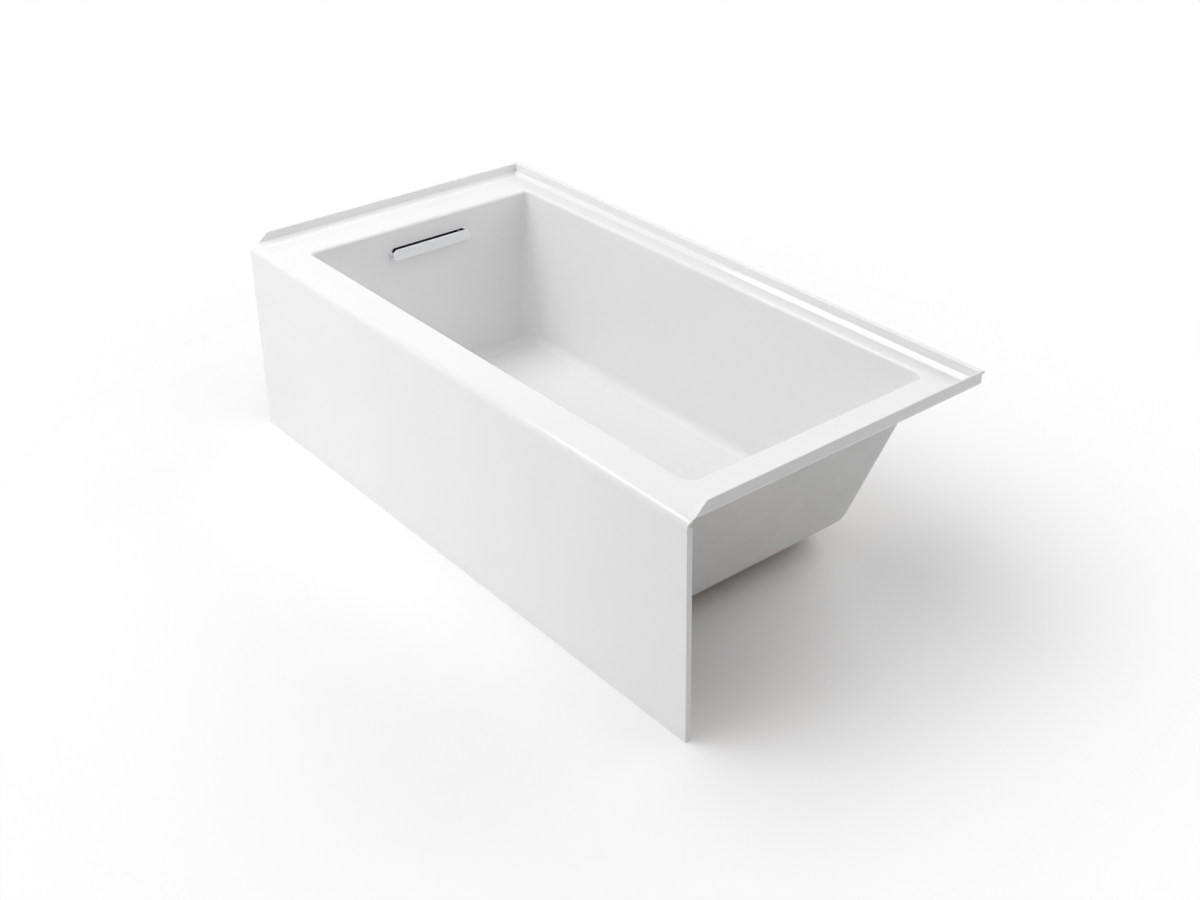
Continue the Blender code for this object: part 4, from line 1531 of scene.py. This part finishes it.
@dataclass
class Drain:
    """Drain body with its crossbars and seal, and the toe-tap stopper that stands in it."""

    form: TubForm = FORM
    bore: float = 0.0200
    tube: float = 0.0226
    bars: Point = (0.0345, 0.0380)
    spring_radius: float = 0.0033
    spring_wire: float = 0.0005
    spring_turns: int = 6

    def __post_init__(self) -> None:
        """Find the drain's axis."""
        self.line = Line((*self.form.waste, 0.0), Axis.Z)

    def seal(self, node: str, inner: float, body: str) -> None:
        """Build a soft flat ring in place of a CAD node.

        Args:
            node: The CAD node, whose box gives the outer radius and the heights.
            inner: Inner radius.
            body: The body it moves with.
        """
        outer, foot, top = round_size(node)
        mesh = self.line.turned(collar(outer, inner, foot, top), 0.0005)
        Workpiece(node + "_ring", mesh).finish(RUBBER, node, body=body)

    def drain(self) -> None:
        """Build the drain's polished flange, its tube and its crossbars."""
        outer, foot, rim = round_size("drain_body")
        bore, tube, under = self.bore, self.tube, rim - 0.0025
        flange = [
            (bore, under + 0.0010), (0.0215, rim - 0.0006), (0.0300, rim),
            (outer - 0.0010, rim - 0.0007), (outer, under), (tube, under), (tube, foot),
            (bore, foot),
        ]
        drain = Workpiece("drain_flange_and_tube", turned(flange, 0.0006))
        low, high = self.bars
        for turn in (0, 90):
            bar = block("bar", (-0.0210, -0.0022, low), (0.0210, 0.0022, high))
            bar.transform(Matrix.Rotation(math.radians(turn), 4, "Z"))
            drain.join(bar)
        drain.join(turned(rod(0.0085, low - 0.001, high + 0.0005), 0.0006, steps=48))
        drain.cut(turned(rod(0.0055, 0.03, 0.05), steps=48))
        moved(drain.item.data, self.line.start)
        drain.finish(CHROME, "drain_body")
        self.seal("drain_seal", 0.0245, BATH)

    def stopper(self) -> None:
        """Build the guide, the stem, the seal and the domed cap."""
        guide = [
            (0.0, 0.0100), (0.0042, 0.0100), (0.0042, 0.0410), (0.0078, 0.0410), (0.0078, 0.0388),
            (0.0052, 0.0388), (0.0052, 0.0085), (0.0, 0.0085),
        ]
        stem = [
            (0.0, 0.0730), (0.0024, 0.0730), (0.0028, 0.0726), (0.0028, 0.0340), (0.0039, 0.0335),
            (0.0039, 0.0270), (0.0, 0.0270),
        ]
        for name, profile, body in (("guide", guide, BATH), ("stem", stem, "stopper")):
            piece = Workpiece(f"stopper_{name}_turned", self.line.turned(profile, 0.0003, 48))
            piece.finish(BRASS, f"stopper_{name}", body=body)
        self.seal("stopper_seal", 0.0073, "cap")
        edge, foot, top = round_size("stopper_cap")
        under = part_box("stopper_seal")[1].z + self.form.gap
        cap = [
            (0.0, top), (0.0090, top - 0.0001), (0.0150, top - 0.0004), (0.0210, top - 0.0010),
            (0.0260, top - 0.0018), (0.0290, top - 0.0028), (edge, top - 0.0045),
            (edge - 0.0005, under), (0.0070, under), (0.0070, foot), (0.0031, foot),
            (0.0031, 0.0733), (0.0, 0.0733),
        ]
        mesh = self.line.turned(cap, 0.0004)
        Workpiece("stopper_cap_turned", mesh).finish(CHROME, "stopper_cap", body="cap")

    def spring(self) -> None:
        """Wind the return spring."""
        low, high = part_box("stopper_spring")
        start, end = low.z + self.spring_wire, high.z - self.spring_wire
        around, sides, wire = 24, 10, self.spring_wire
        count = self.spring_turns * around
        turns = [2 * math.pi * s / sides for s in range(sides)]
        rings = []
        for k in range(count + 1):
            angle = 2 * math.pi * k / around
            rise = Vector((0.0, 0.0, start + (end - start) * k / count))
            out = Vector((math.cos(angle), math.sin(angle), 0.0))
            centre = Vector(self.line.start) + out * self.spring_radius + rise
            section = [out * math.cos(t) + Vector((0, 0, math.sin(t))) for t in turns]
            rings.append([tuple(centre + wire * spoke) for spoke in section])
        coil = Workpiece("stopper_spring_coil", loft("coil", rings)).finish(STEEL, "stopper_spring")
        anchor = (*self.form.waste, low.z)
        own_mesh(coil)

    def build(self) -> None:
        """Build the drain, the stopper and its spring."""
        self.drain()
        self.stopper()
        self.spring()


# Studio


@dataclass(frozen=True)
class Lamp:
    """A round soft box that faces the tub, with its bearing and rise in degrees.

    Gloss shows a lamp's image only where the lamp is mirrored.
    """

    name: str
    bearing: float
    rise: float
    strength: float
    radius: float
    mirrored: bool


@dataclass
class Studio:
    """Pale floor, soft light from the left of the apron, and the camera."""

    place: Place = (2.449, -1.879, 1.923)
    yaw: float = 49.54
    pitch: float = 25.28
    lens: float = 48.39
    shift: Point = (-0.05, -0.12)
    floor_radius: float = 12.0
    fade: Point = (0.5, 1.8)
    floor_colour: Colour = (0.98, 0.98, 0.98)
    lamps: tuple[Lamp, ...] = (
        Lamp("key", 225, 56, 0.212, 1.1, True),
        Lamp("overhead", 180, 62, 0.175, 0.8, True),
        Lamp("front_low", 250, 18, 0.288, 1.8, False),
        Lamp("front_high", 270, 64, 0.298, 1.6, False),
        Lamp("back_fill", 90, 28, 0.375, 1.8, False),
        Lamp("end_fill", 38, 32, 0.225, 1.8, False),
    )
    lamp_distance: float = 3.6
    aim_height: float = 0.3
    sky_strength: float = 0.06
    sensor: float = 36.0

    def floor(self) -> None:
        """Lay the floor."""
        bm = bmesh.new()
        bmesh.ops.create_circle(bm, cap_ends=True, segments=64, radius=self.floor_radius)
        item = Workpiece("studio_floor", mesh_from(bm, "studio_floor")).item
        graph = Graph("studio_floor_paint")
        tone = graph.noise(0.8, 2.0)
        graph.colour(graph.ramp(tone, 0.3, 0.7, self.floor_colour, shaded(self.floor_colour, 1.01)))
        graph.shader.inputs["Roughness"].default_value = 0.9
        graph.shader.inputs["Specular IOR Level"].default_value = 0.0
        reach = graph.add("ShaderNodeVectorMath", {"operation": "LENGTH"})
        graph.tree.links.new(graph.coordinates, reach.inputs[0])
        near, far = self.fade
        fading = graph.add(
            "ShaderNodeMapRange",
            {"interpolation_type": "SMOOTHERSTEP"},
            Value=reach.outputs["Value"], From_Min=near, From_Max=far, To_Min=1.0, To_Max=0.0,
        )
        path = graph.add("ShaderNodeLightPath").outputs["Is Camera Ray"]
        unseen = graph.add("ShaderNodeMapRange", Value=path, To_Min=1.0, To_Max=0.0)
        solid = graph.add("ShaderNodeMath", {"operation": "MAXIMUM"})
        for index, part in enumerate((fading, unseen)):
            graph.tree.links.new(part.outputs["Result"], solid.inputs[index])
        graph.tree.links.new(solid.outputs["Value"], graph.shader.inputs["Alpha"])
        item.data.materials.append(graph.material)

    def sky(self) -> None:
        """Fill the room with a little even light, and paint its far walls white."""
        world = bpy.data.worlds.new("studio")
        bpy.context.scene.world = world
        world.use_nodes = True
        tree = world.node_tree
        room = tree.nodes["Background"]
        room.inputs["Color"].default_value = (1.0, 1.0, 1.0, 1.0)
        path = tree.nodes.new("ShaderNodeLightPath")
        seen = tree.nodes.new("ShaderNodeMath")
        seen.operation = "MAXIMUM"
        tree.links.new(path.outputs["Is Camera Ray"], seen.inputs[0])
        tree.links.new(path.outputs["Is Glossy Ray"], seen.inputs[1])
        level = tree.nodes.new("ShaderNodeMapRange")
        level.inputs["To Min"].default_value = self.sky_strength
        tree.links.new(seen.outputs["Value"], level.inputs["Value"])
        tree.links.new(level.outputs["Result"], room.inputs["Strength"])

    def hang(self, lamp: Lamp) -> None:
        """Hang one lamp.

        Args:
            lamp: The lamp, whose strength is the light that it gives on a surface facing it.
        """
        rise, bearing = math.radians(lamp.rise), math.radians(lamp.bearing)
        towards = Vector(
            (math.cos(bearing) * math.cos(rise), math.sin(bearing) * math.cos(rise), math.sin(rise))
        )
        data = bpy.data.lights.new(lamp.name, "AREA")
        data.shape = "DISK"
        data.size = 2 * lamp.radius
        data.energy = lamp.strength * math.pi**2 * (lamp.radius**2 + self.lamp_distance**2)
        item = bpy.data.objects.new(lamp.name, data)
        item.visible_glossy = lamp.mirrored
        item.location = towards * self.lamp_distance + Vector((0.0, 0.0, self.aim_height))
        item.rotation_mode = "QUATERNION"
        item.rotation_quaternion = towards.to_track_quat("Z", "Y")
        bpy.context.scene.collection.objects.link(item)

    def camera(self) -> None:
        """Set the camera."""
        data = bpy.data.cameras.new("camera")
        data.sensor_width = self.sensor
        data.lens = self.lens
        data.shift_x, data.shift_y = self.shift
        item = bpy.data.objects.new("camera", data)
        yaw, pitch = math.radians(self.yaw), math.radians(self.pitch)
        right = Vector((math.cos(yaw), math.sin(yaw), 0.0))
        back = Vector(
            (math.sin(yaw) * math.cos(pitch), -math.cos(yaw) * math.cos(pitch), math.sin(pitch))
        )
        up = back.cross(right)
        turn = Matrix((right, up, back)).transposed().to_4x4()
        item.matrix_world = Matrix.Translation(self.place) @ turn
        bpy.context.scene.collection.objects.link(item)
        bpy.context.scene.camera = item

    def build(self) -> None:
        """Set up the whole studio."""
        self.floor()
        self.sky()
        for lamp in self.lamps:
            self.hang(lamp)
        self.camera()
        bpy.context.scene.view_settings.view_transform = "Standard"


def main() -> None:
    """Build every sub-assembly in order and report its pieces."""
    logging.basicConfig(level=logging.INFO, format="%(name)s: %(message)s")
    feet = [LevellingFoot(end, side) for end in ("left", "right") for side in ("front", "back")]
    assemblies = [TubShell(), ResinBacking(), Support(), *feet, Framing()]
    assemblies += [OverflowFace(), WastePipes(), Drain()]
    for assembly in assemblies:
        LOG.info("building %s", type(assembly).__name__)
        assembly.build()
    Studio().build()


if __name__ == "__main__":
    main()
